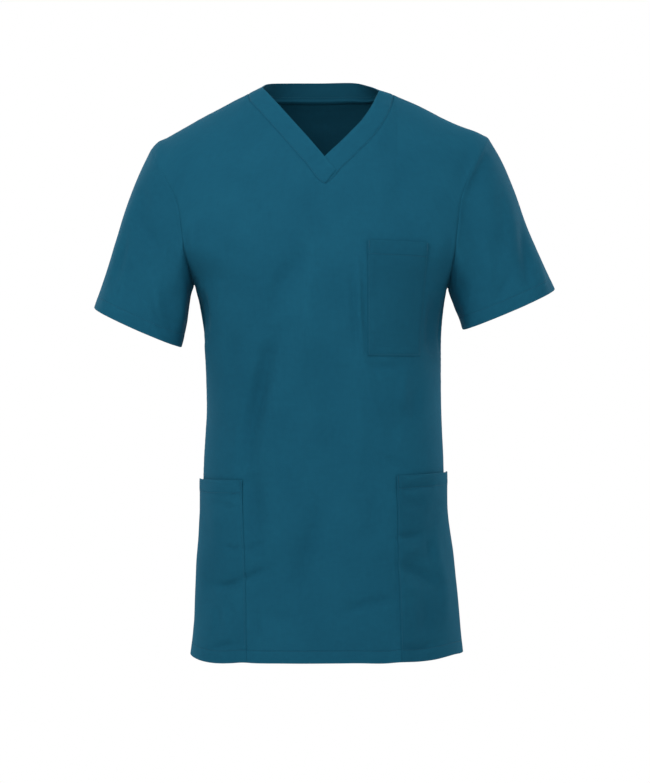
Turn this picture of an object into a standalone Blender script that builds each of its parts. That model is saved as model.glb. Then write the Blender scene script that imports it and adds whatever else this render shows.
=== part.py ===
"""V-neck scrub top, filled out as if worn: a hollow shell of sewn cloth pieces.

Millimetres in the tables, metres in the model. +Z is up, the front faces -Y, and +X is the
wearer's left. The origin lies between the two shoulder points of the neck, where the top hangs
on the wearer.
"""
import math

import bmesh
import bpy
import numpy as np
from mathutils import Vector

MM = 0.001
NAME = "scrub_top"

WALL = 1.2          # cloth with its seam allowance
GAP = 0.3           # between sewn pieces
INSET = 0.24        # half of the opening left along a seam
CHEST = -260.0      # height where the body's walls begin to lean in over the shoulders
MOUTH_SLACK = 2.0   # how far a pocket's mouth stands off the panel
CORNER_SLACK = 3.0  # how far a lower pocket's top corner stands off the side seam

CLOTH = (0.0125, 0.095, 0.155, 1.0)


class Table:
    """Rows of named columns, read between rows along a smooth curve. The first column is the key."""

    def __init__(self, names, *rows):
        self.names = names.split()
        self.rows = np.array(sorted(rows), float)

    def at(self, name, key):
        k = self.rows[:, 0]
        v = self.rows[:, self.names.index(name)]
        slope = np.gradient(v, k)
        key = np.clip(np.asarray(key, float), k[0], k[-1])
        i = np.clip(np.searchsorted(k, key, side="right") - 1, 0, len(k) - 2)
        h = k[i + 1] - k[i]
        t = (key - k[i]) / h
        return ((2 * t**3 - 3 * t**2 + 1) * v[i] + (t**3 - 2 * t**2 + t) * h * slope[i]
                + (3 * t**2 - 2 * t**3) * v[i + 1] + (t**3 - t**2) * h * slope[i + 1])


# Body sections: the side seams' places, how far the middle of the front and of the back stand out
# from them, and how square the front's corners are on each side.
BODY = Table(
    "height right left front back square_right square_left",
    (-726, -168.6, 182.6, 115, 120, 3.0, 2.05),
    (-691, -165.2, 178.5, 114, 119, 2.8, 2.1),
    (-660, -163.4, 175.8, 113, 117, 2.6, 2.15),
    (-598, -160.3, 169.8, 111, 110, 2.5, 2.2),
    (-535, -155.5, 159.3, 109, 101, 2.4, 2.25),
    (-473, -153.0, 156.4, 108, 95, 2.3, 2.3),
    (-426, -150.4, 154.5, 109, 94, 2.3, 2.3),
    (-364, -150.8, 154.7, 113, 99, 2.3, 2.3),
    (-309, -154.4, 155.9, 118, 107, 2.3, 2.3),
    (-278, -159.5, 159.0, 120, 111, 2.3, 2.3),
    (-251, -165.4, 162.9, 121, 114, 2.3, 2.3),
    (-160, -170.0, 168.0, 121, 116, 2.3, 2.3),
)

# How far the hem sags below its level.
HEM = Table(
    "x front back",
    (-169, 0.0, 0.0), (-159, 1.9, 0.4), (-143, 3.4, 1.2), (-127, 3.2, 1.6), (-113, 2.0, 1.2), (-99, 0.6, 0.6),
    (-85, 1.0, 0.8), (-50, 0.9, 1.6), (0, 0.8, 0.6), (50, 0.9, 1.2), (80, 1.9, 0.6), (96, 1.3, 1.0), (124, 1.8, 1.6),
    (142, 1.2, 0.8), (158, -0.4, 0.3), (172, -1.4, 0.0), (183, 0.0, 0.0),
)
HEM_REACH = 60.0    # height over which the sag dies out

# Height of the shoulder ridge across the body.
SHOULDER = Table(
    "x height",
    (-221.4, -74), (-214.5, -66.5), (-200, -59), (-187, -51.5), (-160, -36), (-131, -20.5),
    (-102, -5), (-77, 7), (-40, 22), (0, 29), (40, 22), (75, 6), (102, -7.6), (131, -20.5),
    (161, -36), (181, -44.8), (200, -51.8), (215.8, -59.5),
)

UNDERARM_RIGHT, TIP_RIGHT = -250.9, -74.0
UNDERARM_LEFT, TIP_LEFT = -254.7, -59.5

# Armhole seams, by the share of the way from underarm to shoulder tip: distance from the middle.
ARMHOLE = Table(
    "rise right_front right_back left_front left_back",
    (0.00, 165.4, 165.4, 162.9, 162.9),
    (0.10, 168.6, 169.4, 164.8, 166.6),
    (0.25, 174.6, 177.0, 168.8, 173.2),
    (0.40, 178.4, 183.6, 172.4, 179.6),
    (0.55, 182.5, 190.0, 176.2, 185.4),
    (0.65, 189.5, 195.6, 182.5, 190.8),
    (0.75, 199.5, 203.5, 191.0, 197.8),
    (0.87, 211.5, 212.5, 203.0, 206.0),
    (1.00, 221.4, 221.4, 215.8, 215.8),
)
SEAM_FRONT, SEAM_BACK = 80.0, 72.0   # depth of the armhole seams before the shoulder rolls over
SEAM_FULL = 0.30                      # the rise at which they have it

# How tightly the cloth rolls over the shoulder, from the middle out.
ROLL = Table(
    "x front back",
    (0, 1.50, 3.30), (60, 1.52, 3.20), (100, 1.60, 2.90), (150, 1.72, 2.45), (200, 1.95, 2.1), (222, 2.0, 2.0),
)

# Long soft folds. Each is a line on the panel, from one end to the other by way of its middle, that
# sinks (negative) or rises, and dies out at both ends.
FOLDS = (
    # side, x0, z0, x1, z1, x2, z2, width, rise
    ("front", -66, -318, -84, -385, -96, -450, 24, -3.4),
    ("front", -45, -300, -64, -430, -77, -575, 30, 2.6),
    ("front", -46, -215, -62, -280, -75, -338, 26, -2.4),
    ("front", 6, -250, -14, -320, -28, -384, 26, 2.2),
    ("front", 44, -262, 46, -320, 46, -381, 16, 1.6),
    ("front", -150, -545, -118, -528, -92, -530, 18, -1.8),
    ("front", -155, -640, -110, -628, -52, -608, 20, -2.0),
    ("front", 92, -596, 118, -604, 150, -590, 18, -1.8),
    ("front", 22, -648, 60, -672, 97, -690, 26, -1.6),
    ("front", 118, -352, 100, -420, 96, -480, 30, -2.4),
    ("front", -158, -262, -146, -300, -140, -350, 18, -2.2),
    ("front", 158, -262, 148, -300, 140, -345, 18, -2.2),
    ("back", 64, -250, 82, -350, 84, -470, 30, -3.6),
    ("back", -70, -262, -92, -360, -86, -452, 28, -3.2),
    ("back", 18, -330, 6, -440, 14, -560, 34, 2.8),
    ("back", -36, -380, -44, -470, -40, -590, 28, -2.2),
    ("back", 120, -520, 104, -600, 112, -690, 30, 2.6),
    ("back", -122, -500, -112, -590, -120, -670, 26, 2.2),
    ("back", -150, -270, -138, -310, -132, -366, 20, -2.4),
    ("back", 150, -268, 140, -318, 134, -352, 20, -2.2),
)

# Sleeves, by the share of the way from armhole to cuff: the upper line, the lower line, and how far
# the cloth stands out in front and behind.
SLEEVE_RIGHT = Table(
    "along over_x over_z under_x under_z front back droop",
    (0.00, -221.4, -74.0, -165.4, -250.9, 70, 62, 0.0),
    (0.15, -236.0, -104.0, -169.0, -263.0, 67, 61, 0.0),
    (0.35, -251.8, -144.0, -172.6, -279.0, 62, 59, 0.8),
    (0.60, -267.9, -196.0, -176.0, -299.0, 57, 57, 2.0),
    (0.80, -281.2, -238.0, -179.4, -315.0, 54, 55, 3.4),
    (1.00, -295.6, -279.0, -183.0, -329.0, 52, 53, 5.2),
)
SLEEVE_LEFT = Table(
    "along over_x over_z under_x under_z front back droop",
    (0.00, 215.8, -59.5, 162.9, -254.7, 70, 62, 0.0),
    (0.15, 232.4, -88.0, 166.0, -263.5, 67, 61, 0.0),
    (0.35, 249.0, -127.0, 170.5, -274.5, 62, 59, 0.8),
    (0.60, 266.5, -177.0, 176.5, -287.5, 57, 57, 2.0),
    (0.80, 284.0, -216.5, 180.3, -296.6, 54, 55, 3.6),
    (1.00, 302.0, -255.0, 183.0, -305.6, 52, 53, 6.0),
)
SLEEVE_STEPS = (0.0, 0.05, 0.14, 0.27, 0.42, 0.58, 0.75, 0.90, 1.0)
SLEEVE_SQUARE_OVER, SLEEVE_SQUARE_UNDER = 2.4, 3.2

# Levels of the front and back: the ends' heights at the right and left side seams, and the rows up to the next.
LEVELS = (
    # name, right, left, rows
    ("hem", -726.0, -726.0, 9),
    ("lower_pocket_mouth", -502.0, -493.0, 7),
    ("chest_pocket_foot", -344.5, -344.5, 5),
    ("underarm", UNDERARM_RIGHT, UNDERARM_LEFT, 0),
)
ARM_RISES = (0.018, 0.068, 0.155)     # rows just above the underarm, where the armhole curves most
YOKE_RIGHT, YOKE_LEFT = 0.332, 0.257  # rise of the row at the chest pocket's mouth
YOKE_ROWS = 8                         # from there to the shoulder, the last one narrow
YOKE_EDGE = 0.965

# Columns of the front: the lines that its pockets and neck need.
COLUMNS = Table(
    "height right_pocket middle chest_in left_pocket chest_out",
    (-726, -93.6, 3.0, 57.3, 98.9, 130.0),
    (-610, -96.5, 3.0, 57.3, 97.0, 128.0),
    (-499, -101.5, 3.0, 57.3, 93.4, 126.0),
    (-344, -101.0, 3.0, 57.2, 93.0, 124.8),
    (-200, -100.0, 3.0, 56.8, 94.5, 133.4),
)
COLUMN_NAMES = ("right_pocket", "middle", "chest_in", "left_pocket", "chest_out")
COLUMN_CELLS = (6, 6, 3, 2, 3, 4)
BACK_SHOULDER_CELLS, BACK_NECK_CELLS = 5, 10

# The neck: the outer seam of the band, and its free edge. Heights in front come with x, and behind with y.
NECK_SEAM_FRONT = Table(
    "x height",
    (-96, -12.3), (-72, -40.5), (-48, -69.8), (-22, -100.5), (3.1, -128.2), (27, -106), (48, -85), (69.8, -60.5), (84, -37), (93.2, -15.7),
)
NECK_SEAM_BACK = Table(
    "turn x y",
    (0.0, -96.0, -14.0), (0.13, -94.5, 10.0), (0.27, -84.0, 42.0), (0.39, -55.0, 70.2), (0.50, -1.0, 81.0),
    (0.61, 53.0, 70.2), (0.73, 81.6, 42.0), (0.87, 91.8, 10.0), (1.0, 93.2, -14.0),
)
NECK_EDGE_RIGHT = Table("x height", (-77, 4.5), (-57, -19.8), (-36.3, -44.8), (-16, -69.0), (3.1, -92.6), (17.6, -110.0))
NECK_EDGE_LEFT = Table("x height", (3.1, -92.6), (34.9, -61.0), (55.1, -37.0), (67.5, -15.5), (74.4, 0.5))
NECK_EDGE_BACK = Table(
    "turn x y z",
    (0.0, -77.0, -7.2, 4.5), (0.12, -77.5, 11.0, 9.2), (0.26, -70.0, 47.0, 18.2), (0.38, -45.0, 70.0, 21.9),
    (0.50, -2.0, 79.0, 23.2), (0.62, 42.0, 70.0, 22.4), (0.74, 63.0, 47.0, 15.0), (0.88, 74.0, 9.0, 4.7),
    (1.0, 74.4, -12.2, 0.5),
)
BAND_CELLS, BAND_ROWS = 10, 2
SEAM_DROP_RIGHT, SEAM_DROP_LEFT = -0.105, -0.105   # the shoulder seams lie in front of the ridge at the neck


def ease(t):
    t = np.clip(t, 0.0, 1.0)
    return t * t * (3 - 2 * t)


def rise(x, z):
    """Share of the way up the armhole, on the side that x is on."""
    right = (z - UNDERARM_RIGHT) / (TIP_RIGHT - UNDERARM_RIGHT)
    left = (z - UNDERARM_LEFT) / (TIP_LEFT - UNDERARM_LEFT)
    return np.where(x < 0, right, left)


def section(side, x, z):
    """How far the cloth stands out from the side seams' plane, before the shoulder rolls over."""
    x, z = np.asarray(x, float), np.asarray(z, float)
    up = rise(x, z)
    ends = {}
    for s, sign in (("right", -1), ("left", 1)):
        u = (z - (UNDERARM_RIGHT if s == "right" else UNDERARM_LEFT)) / (
            TIP_RIGHT - UNDERARM_RIGHT if s == "right" else TIP_LEFT - UNDERARM_LEFT)
        ends[s] = np.where(u > 0, sign * ARMHOLE.at(s + "_" + side, u), BODY.at(s, z))
    middle = (ends["right"] + ends["left"]) / 2
    end = np.where(x < middle, ends["right"], ends["left"])
    part = np.clip((x - middle) / (end - middle), 0, 1)
    square = np.where(x < middle, BODY.at("square_right", z), BODY.at("square_left", z)) if side == "front" else 2.3
    bulge = BODY.at(side, z)
    full = np.clip(up / SEAM_FULL, 0, 1)
    seam = (SEAM_FRONT if side == "front" else SEAM_BACK) * (1 - (1 - full) ** 2) ** 0.8
    # Above the underarm the section would go on past the armhole seam, which cuts it at the seam's depth.
    cut = (1 - (seam / bulge) ** square) ** (1 / square)
    return bulge * (1 - (cut * part) ** square) ** (1 / square)


def folds(side, x, z):
    total = np.zeros(np.broadcast(x, z).shape)
    for where, x0, z0, x1, z1, x2, z2, width, height in FOLDS:
        if where != side:
            continue
        best = np.full(total.shape, 1e9)
        fade = np.zeros(total.shape)
        for k in range(25):
            t = k / 24
            px = (1 - t) ** 2 * x0 + 2 * t * (1 - t) * (2 * x1 - (x0 + x2) / 2) + t * t * x2
            pz = (1 - t) ** 2 * z0 + 2 * t * (1 - t) * (2 * z1 - (z0 + z2) / 2) + t * t * z2
            d = np.hypot(x - px, z - pz)
            near = d < best
            best = np.where(near, d, best)
            fade = np.where(near, math.sin(math.pi * min(max(t, 0.08), 0.92)) ** 0.8, fade)
        total += height * fade * np.exp(-(best / (0.55 * width)) ** 2)
    return total


def body(side, x, z):
    """A point of the front or back below the shoulders' roll."""
    x, z = np.broadcast_arrays(np.asarray(x, float), np.asarray(z, float))
    sign = -1 if side == "front" else 1
    depth = section(side, x, z)
    n = ROLL.at(side, np.abs(x))
    t = np.clip((z - CHEST) / (SHOULDER.at("height", x) - CHEST), 0, 1)
    y = depth * (1 - t**n) ** (1 / n)
    fade = np.clip(y / 40, 0, 1) ** 2
    sag = HEM.at(side, x) * (1 - ease((z - LEVELS[0][1]) / HEM_REACH))
    return np.stack([x, sign * (y + fade * folds(side, x, z)), z - sag], -1)


def over(x, w):
    """A point of the cloth that passes over the shoulder: w is -1 at the chest, 0 on the ridge and 1 behind."""
    x, w = np.broadcast_arrays(np.asarray(x, float), np.asarray(w, float))
    out = np.zeros(x.shape + (3,))
    for side, sign in (("front", -1), ("back", 1)):
        n = ROLL.at(side, np.abs(x))
        q = np.clip(1 - np.abs(w), 0, 1) * math.pi / 2
        t = np.sin(q) ** (2 / n)
        roll = np.cos(q) ** (2 / n)
        z = CHEST + (SHOULDER.at("height", x) - CHEST) * t
        y = section(side, x, z) * roll
        y = y + np.clip(y / 40, 0, 1) ** 2 * folds(side, x, z)
        here = (w < 0) if side == "front" else (w >= 0)
        out = np.where(here[..., None], np.stack([x, sign * y, z], -1), out)
    return out


def turn_of(side, x, z):
    """The w of a point of the front or back, from its height."""
    n = ROLL.at(side, np.abs(x))
    t = np.clip((z - CHEST) / (SHOULDER.at("height", x) - CHEST), 0, 1)
    q = np.arcsin(t ** (n / 2)) * 2 / math.pi
    return -(1 - q) if side == "front" else 1 - q


def turn_from_depth(x, y):
    """The w of a point behind or before the ridge, from its y."""
    low, high = np.full(np.shape(x), -0.6), np.full(np.shape(x), 0.9)
    for _ in range(40):
        mid = (low + high) / 2
        less = over(x, mid)[..., 1] < y
        low, high = np.where(less, mid, low), np.where(less, high, mid)
    return (low + high) / 2


def armhole(side, hand, up):
    """x and z of the armhole seam."""
    up = np.asarray(up, float)
    if hand == "right":
        return -ARMHOLE.at("right_" + side, up), UNDERARM_RIGHT + (TIP_RIGHT - UNDERARM_RIGHT) * up
    return ARMHOLE.at("left_" + side, up), UNDERARM_LEFT + (TIP_LEFT - UNDERARM_LEFT) * up


def level_rows():
    """End heights of the level rows, from the hem up to the underarm."""
    rows = []
    for (_, r0, l0, count), (_, r1, l1, _) in zip(LEVELS, LEVELS[1:]):
        for k in range(count):
            rows.append((r0 + (r1 - r0) * k / count, l0 + (l1 - l0) * k / count))
    rows.append(LEVELS[-1][1:3])
    return rows


def level_index(name):
    total = 0
    for level, _, _, count in LEVELS:
        if level == name:
            return total
        total += count
    raise KeyError(name)


def spread(side, keys, cells, left_end, right_end, square):
    """x of each column of a row: the key columns, with those between them at even turns round the section."""
    middle = (left_end + right_end) / 2
    half = (right_end - left_end) / 2
    stops = [left_end, *keys, right_end]
    turns = []
    for x in stops:
        s = min(max((x - middle) / half, -1), 1)
        turns.append(math.copysign(math.asin(abs(s) ** (square / 2)), s))
    xs = []
    for t0, t1, count in zip(turns, turns[1:], cells):
        for k in range(count):
            a = t0 + (t1 - t0) * k / count
            xs.append(middle + half * math.copysign(abs(math.sin(a)) ** (2 / square), a))
    xs.append(right_end)
    return np.array(xs)


def panel(side):
    """Rows of points of the front or back, from the hem to the shoulder seams and neck."""
    cells = COLUMN_CELLS if side == "front" else (BACK_SHOULDER_CELLS * 2 + BACK_NECK_CELLS,)
    ends = []
    for r, l in level_rows():
        ends.append((float(BODY.at("right", r)), r, float(BODY.at("left", l)), l))
    rises = [(u, u) for u in ARM_RISES] + [(YOKE_RIGHT, YOKE_LEFT)]
    for ur, ul in rises:
        xr, zr = armhole(side, "right", ur)
        xl, zl = armhole(side, "left", ul)
        ends.append((float(xr), float(zr), float(xl), float(zl)))
    ends[level_index("underarm")] = (-165.4, UNDERARM_RIGHT, 162.9, UNDERARM_LEFT)
    rows = []
    for xr, zr, xl, zl in ends:
        zm = (zr + zl) / 2
        keys = [float(COLUMNS.at(n, zm)) for n in COLUMN_NAMES] if side == "front" else []
        x = spread(side, keys, cells, xr, xl, 2.3)
        z = zr + (zl - zr) * (x - xr) / (xl - xr)
        rows.append(body(side, x, z))
    lift = np.append(np.linspace(0, 1, YOKE_ROWS)[:-1], (YOKE_EDGE, 1.0))
    rows += yoke_rows(side, rows[-1], cells, lift)
    return np.array(rows)


def yoke_rows(side, low, cells, lift):
    """The rows above the chest pocket's mouth: they bend from the level one below to the shoulder seams and neck."""
    count = len(low)
    fine = (count - 1) // sum(COLUMN_CELLS if side == "front" else (BACK_SHOULDER_CELLS * 2 + BACK_NECK_CELLS,))
    w_low = turn_of(side, low[:, 0], low[:, 2])
    phi = lambda u: math.acos(2 * u - 1)
    up_r = (np.cos(phi(YOKE_RIGHT) * (1 - lift)) + 1) / 2
    up_l = (np.cos(phi(YOKE_LEFT) * (1 - lift)) + 1) / 2
    rx, rz = armhole(side, "right", up_r)
    lx, lz = armhole(side, "left", up_l)
    rw, lw = turn_of(side, rx, rz), turn_of(side, lx, lz)
    rw[-1] = lw[-1] = 0.0
    if side == "front":
        n_r, n_v1 = COLUMN_CELLS[0] * fine, COLUMN_CELLS[1] * fine
        n_v2, n_l = (COLUMN_CELLS[2] + COLUMN_CELLS[3]) * fine, (COLUMN_CELLS[4] + COLUMN_CELLS[5]) * fine
        tip = 3.1
        xr = np.linspace(-221.4, -96.0, n_r + 1)
        xv1 = np.linspace(-96.0, tip, n_v1 + 1)
        xv2 = np.linspace(tip, 93.2, n_v2 + 1)
        xl = np.linspace(93.2, 215.8, n_l + 1)
        w_seam_r = SEAM_DROP_RIGHT * ease((xr + 221.4) / 125.4)
        w_seam_l = SEAM_DROP_LEFT * ease((215.8 - xl) / 122.6)
        xv = np.concatenate([xv1, xv2[1:]])
        w_v = turn_of("front", xv, NECK_SEAM_FRONT.at("height", xv))
        top_x = np.concatenate([xr[:-1], xv, xl[1:]])
        top_w = np.concatenate([w_seam_r[:-1], w_v, w_seam_l[1:]])
        top_w[n_r], top_w[n_r + n_v1 + n_v2] = w_seam_r[-1], w_seam_l[0]
    else:
        n = BACK_SHOULDER_CELLS * fine
        xr = np.linspace(-221.4, -96.0, n + 1)
        xl = np.linspace(93.2, 215.8, n + 1)
        turn = np.linspace(0, 1, BACK_NECK_CELLS * fine + 1)
        xn, yn = NECK_SEAM_BACK.at("x", turn), NECK_SEAM_BACK.at("y", turn)
        wn = turn_from_depth(xn, yn)
        w_seam_r = SEAM_DROP_RIGHT * ease((xr + 221.4) / 125.4)
        w_seam_l = SEAM_DROP_LEFT * ease((215.8 - xl) / 122.6)
        wn[0], wn[-1] = w_seam_r[-1], w_seam_l[0]
        top_x = np.concatenate([xr[:-1], xn, xl[1:]])
        top_w = np.concatenate([w_seam_r[:-1], wn, w_seam_l[1:]])
    u = np.linspace(0, 1, count)
    bottom = np.stack([low[:, 0], w_low], -1)
    top = np.stack([top_x, top_w], -1)
    right = np.stack([rx, rw], -1)
    left = np.stack([lx, lw], -1)
    way = ((rw - rw[0]) / (rw[-1] - rw[0]) + (lw - lw[0]) / (lw[-1] - lw[0])) / 2
    rows = []
    for k in range(1, len(lift)):
        v = way[k]
        mix = ((1 - v) * bottom + v * top + (1 - u)[:, None] * right[k] + u[:, None] * left[k]
               - ((1 - u) * (1 - v))[:, None] * bottom[0] - (u * (1 - v))[:, None] * bottom[-1]
               - ((1 - u) * v)[:, None] * top[0] - (u * v)[:, None] * top[-1])
        rows.append(over(mix[:, 0], mix[:, 1]))
    return rows


def pull_in(grid, edge, distance):
    """Moves an edge of a grid of points back into the grid."""
    g = grid if edge in ("first_row", "last_row") else np.swapaxes(grid, 0, 1)
    a, b = (0, 1) if edge in ("first_row", "first_column") else (-1, -2)
    step = g[b] - g[a]
    length = np.maximum(np.linalg.norm(step, axis=-1, keepdims=True), 1e-6)
    g[a] = g[a] + step / length * np.minimum(distance, 0.3 * length)


def normals(grid):
    """Outward directions at the points of a grid of a panel that faces away from the body's axis."""
    du = np.gradient(grid, axis=1)
    dv = np.gradient(grid, axis=0)
    n = np.cross(du, dv)
    n /= np.maximum(np.linalg.norm(n, axis=-1, keepdims=True), 1e-9)
    return n


def sleeve(table, hand, front, back):
    """Rings of points from the armhole to the cuff. The armhole's points are the panels' own."""
    sign = -1 if hand == "right" else 1
    # From the shoulder tip down the front to the underarm, then up the back.
    seam = np.concatenate([front[::-1], back[1:-1]])
    low, high = seam[:, 2].min(), seam[:, 2].max()
    cos = np.clip((seam[:, 2] - (low + high) / 2) / ((high - low) / 2), -1, 1)
    phi = np.arccos(cos)
    phi[len(front):] = 2 * math.pi - phi[len(front):]
    rings = []

    def ring(t):
        over_point = np.array([table.at("over_x", t), 0.0, table.at("over_z", t)])
        under_point = np.array([table.at("under_x", t), 0.0, table.at("under_z", t)])
        centre = (over_point + under_point) / 2
        reach = (over_point - under_point) / 2
        c, s = np.cos(phi), np.sin(phi)
        square = np.where(c > 0, SLEEVE_SQUARE_OVER, SLEEVE_SQUARE_UNDER)
        size = (np.abs(c) ** square + np.abs(s) ** square) ** (1 / square)
        cc, ss = c / size, s / size
        depth = np.where(s > 0, table.at("front", t), table.at("back", t))
        p = centre + cc[:, None] * reach + (ss * depth)[:, None] * np.array([0, -1.0, 0])
        p[:, 2] -= float(table.at("droop", t)) * np.abs(s)
        return p

    start = ring(0.0)
    for t in SLEEVE_STEPS:
        keep = (1 - min(t / 0.62, 1)) ** 2 * (1 + 2 * min(t / 0.62, 1))
        rings.append(ring(t) + (seam - start) * keep)
    rings = np.array(rings)
    step = rings[1] - rings[0]
    step /= np.linalg.norm(step, axis=-1, keepdims=True)
    rings[0] = rings[0] + step * 0.30
    tight = (1 - np.cos(phi)) / 2
    rings[0][:, 0] += sign * (0.30 + 0.75 * tight)
    rings[1][:, 0] += sign * (0.20 + 0.80 * tight)
    return rings


def mesh_object(name, grid, collection, parent, wall=WALL, offset=-1.0, closed=False, flip=False, smooth=True):
    """A panel of cloth: the grid as an open surface, thickened by Solidify."""
    rows, cols = grid.shape[:2]
    bm = bmesh.new()
    verts = [[bm.verts.new(Vector(p) * MM) for p in row] for row in grid]
    for i in range(rows - 1):
        for j in range(cols if closed else cols - 1):
            k = (j + 1) % cols
            quad = [verts[i][j], verts[i][k], verts[i + 1][k], verts[i + 1][j]]
            bm.faces.new(quad[::-1] if flip else quad)
    mesh = bpy.data.meshes.new(name)
    bm.to_mesh(mesh)
    bm.free()
    if smooth:
        mesh.shade_smooth()
    obj = bpy.data.objects.new(name, mesh)
    collection.objects.link(obj)
    obj.parent = parent
    mod = obj.modifiers.new("cloth", "SOLIDIFY")
    mod.thickness = wall * MM
    mod.offset = offset
    mod.use_even_offset = True
    mod.use_rim = True
    obj.data.materials.append(cloth_material(name))
    return obj


def cloth_material(name):
    mat = bpy.data.materials.new("cloth_" + name)
    mat.use_nodes = True
    shader = mat.node_tree.nodes["Principled BSDF"]
    shader.inputs["Base Color"].default_value = CLOTH
    shader.inputs["Roughness"].default_value = 0.88
    shader.inputs["Metallic"].default_value = 0.0
    mat.diffuse_color = CLOTH
    return mat


def patch(grid, rows, cols, mouth, corner=None):
    """A patch pocket from the panel's own points, moved out. Its mouth stands a little off the panel."""
    out = normals(grid)
    part = grid[rows[0]:rows[1] + 1, cols[0]:cols[1] + 1]
    n = out[rows[0]:rows[1] + 1, cols[0]:cols[1] + 1]
    r = np.linspace(0, 1, part.shape[0])[:, None]
    c = np.linspace(0, 1, part.shape[1])[None, :]
    lift = GAP + mouth * ease((r - 0.55) / 0.45) * np.sin(math.pi * (0.12 + 0.76 * c))
    if corner is not None:
        lift = lift + CORNER_SLACK * ease((r - 0.6) / 0.4) * ease(1 - np.abs(c - corner) / 0.45)
    return part + n * lift[..., None]


def front_band(hand, seam):
    """The band on one side of the V: from the shoulder seam to the point, between seam and free edge."""
    along = np.linspace(0, 1, BAND_CELLS + 1)
    if hand == "right":
        edge_x = -77.0 + (17.6 + 77.0) * along
        edge_z = NECK_EDGE_RIGHT.at("height", edge_x)
        lift = (WALL + GAP + 0.2) * ease((along - 0.52) / 0.22)
    else:
        edge_x = 74.4 + (3.1 - 74.4) * along
        edge_z = NECK_EDGE_LEFT.at("height", edge_x)
        lift = np.zeros(len(along))
    w_edge = turn_of("front", edge_x, edge_z)
    edge = over(edge_x, w_edge)
    rows = [seam + (edge - seam) * k / BAND_ROWS for k in range(BAND_ROWS + 1)]
    grid = np.array(rows)
    return grid, lift


def main():
    for obj in list(bpy.data.objects):
        bpy.data.objects.remove(obj, do_unlink=True)
    collection = bpy.data.collections.new(NAME)
    bpy.context.scene.collection.children.link(collection)
    root = bpy.data.objects.new(NAME + "_root", None)
    collection.objects.link(root)

    front, back = panel("front"), panel("back")
    under = level_index("underarm")
    top = front.shape[0] - 1
    n_r = COLUMN_CELLS[0]
    tip_col = COLUMN_CELLS[0] + COLUMN_CELLS[1]
    n_l = tip_col + COLUMN_CELLS[2] + COLUMN_CELLS[3]
    last = front.shape[1] - 1

    sleeves = {
        "right": sleeve(SLEEVE_RIGHT, "right", front[under:, 0], back[under:, 0]),
        "left": sleeve(SLEEVE_LEFT, "left", front[under:, -1], back[under:, -1]),
    }
    neck_front = front[top, n_r:n_l + 1].copy()
    neck_back = back[top, BACK_SHOULDER_CELLS:BACK_SHOULDER_CELLS + BACK_NECK_CELLS + 1].copy()

    pockets = {
        "chest_pocket": patch(front, (level_index("chest_pocket_foot"), under + len(ARM_RISES) + 1),
                              (tip_col + COLUMN_CELLS[2], tip_col + COLUMN_CELLS[2] + COLUMN_CELLS[3] + COLUMN_CELLS[4]),
                              MOUTH_SLACK),
        "lower_pocket_right": patch(front, (0, level_index("lower_pocket_mouth")), (0, n_r), MOUTH_SLACK, 0.0),
        "lower_pocket_left": patch(front, (0, level_index("lower_pocket_mouth")),
                                   (tip_col + COLUMN_CELLS[2] + COLUMN_CELLS[3], last), MOUTH_SLACK, 1.0),
    }

    for grid in (front, back):
        for edge in ("first_column", "last_column", "last_row"):
            pull_in(grid, edge, INSET)
    mesh_object("front_panel", front, collection, root)
    mesh_object("back_panel", back, collection, root, flip=True)
    mesh_object("sleeve_right", sleeves["right"], collection, root, closed=True)
    mesh_object("sleeve_left", sleeves["left"], collection, root, closed=True, flip=True)

    right_seam = neck_front[:COLUMN_CELLS[1] + 1]
    left_seam = neck_front[COLUMN_CELLS[1]:][::-1]
    for hand, seam in (("right", right_seam), ("left", left_seam)):
        t = np.linspace(0, 1, len(seam))
        s = np.linspace(0, 1, BAND_CELLS + 1)
        seam = np.stack([np.interp(s, t, seam[:, k]) for k in range(3)], -1)
        grid, lift = front_band(hand, seam)
        n = normals(grid)
        if n[0, 0, 1] > 0:
            n = -n
        pull_in(grid, "first_row", 2 * INSET)
        pull_in(grid, "first_column", INSET)
        grid = grid + n * lift[None, :, None]
        mesh_object("neckband_front_" + hand, grid, collection, root, flip=(hand == "left"))

    turn = np.linspace(0, 1, BACK_NECK_CELLS + 1)
    edge = np.stack([NECK_EDGE_BACK.at(c, turn) for c in "xyz"], -1)
    grid = np.array([neck_back + (edge - neck_back) * k / BAND_ROWS for k in range(BAND_ROWS + 1)])
    pull_in(grid, "first_row", 2 * INSET)
    pull_in(grid, "first_column", 2 * INSET)
    pull_in(grid, "last_column", 2 * INSET)
    mesh_object("neckband_back", grid, collection, root, flip=True)

    for name, grid in pockets.items():
        mesh_object(name, grid, collection, root, offset=1.0)


main()
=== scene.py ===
"""Looks of a V-neck scrub top, filled out as if worn: cloth shells with seams, hems, stitches and folds."""

import math

import bpy
import numpy as np
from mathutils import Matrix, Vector


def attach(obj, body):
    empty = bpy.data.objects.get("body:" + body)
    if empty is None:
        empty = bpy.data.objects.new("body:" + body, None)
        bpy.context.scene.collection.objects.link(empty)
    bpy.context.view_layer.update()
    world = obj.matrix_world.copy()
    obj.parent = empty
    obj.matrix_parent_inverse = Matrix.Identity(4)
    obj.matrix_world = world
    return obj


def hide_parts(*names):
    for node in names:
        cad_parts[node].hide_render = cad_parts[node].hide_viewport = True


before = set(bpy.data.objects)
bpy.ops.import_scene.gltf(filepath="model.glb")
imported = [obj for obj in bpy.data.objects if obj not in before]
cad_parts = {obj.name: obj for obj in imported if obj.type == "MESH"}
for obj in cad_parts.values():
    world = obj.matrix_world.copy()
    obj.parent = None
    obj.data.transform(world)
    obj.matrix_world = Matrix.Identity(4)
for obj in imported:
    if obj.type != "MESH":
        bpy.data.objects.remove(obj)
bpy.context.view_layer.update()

MM = 0.001
CHEST = -260.0        # height where the body's walls begin to lean in over the shoulders
MOUTH_SLACK = 2.0     # how far a pocket's mouth stands off the panel
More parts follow.
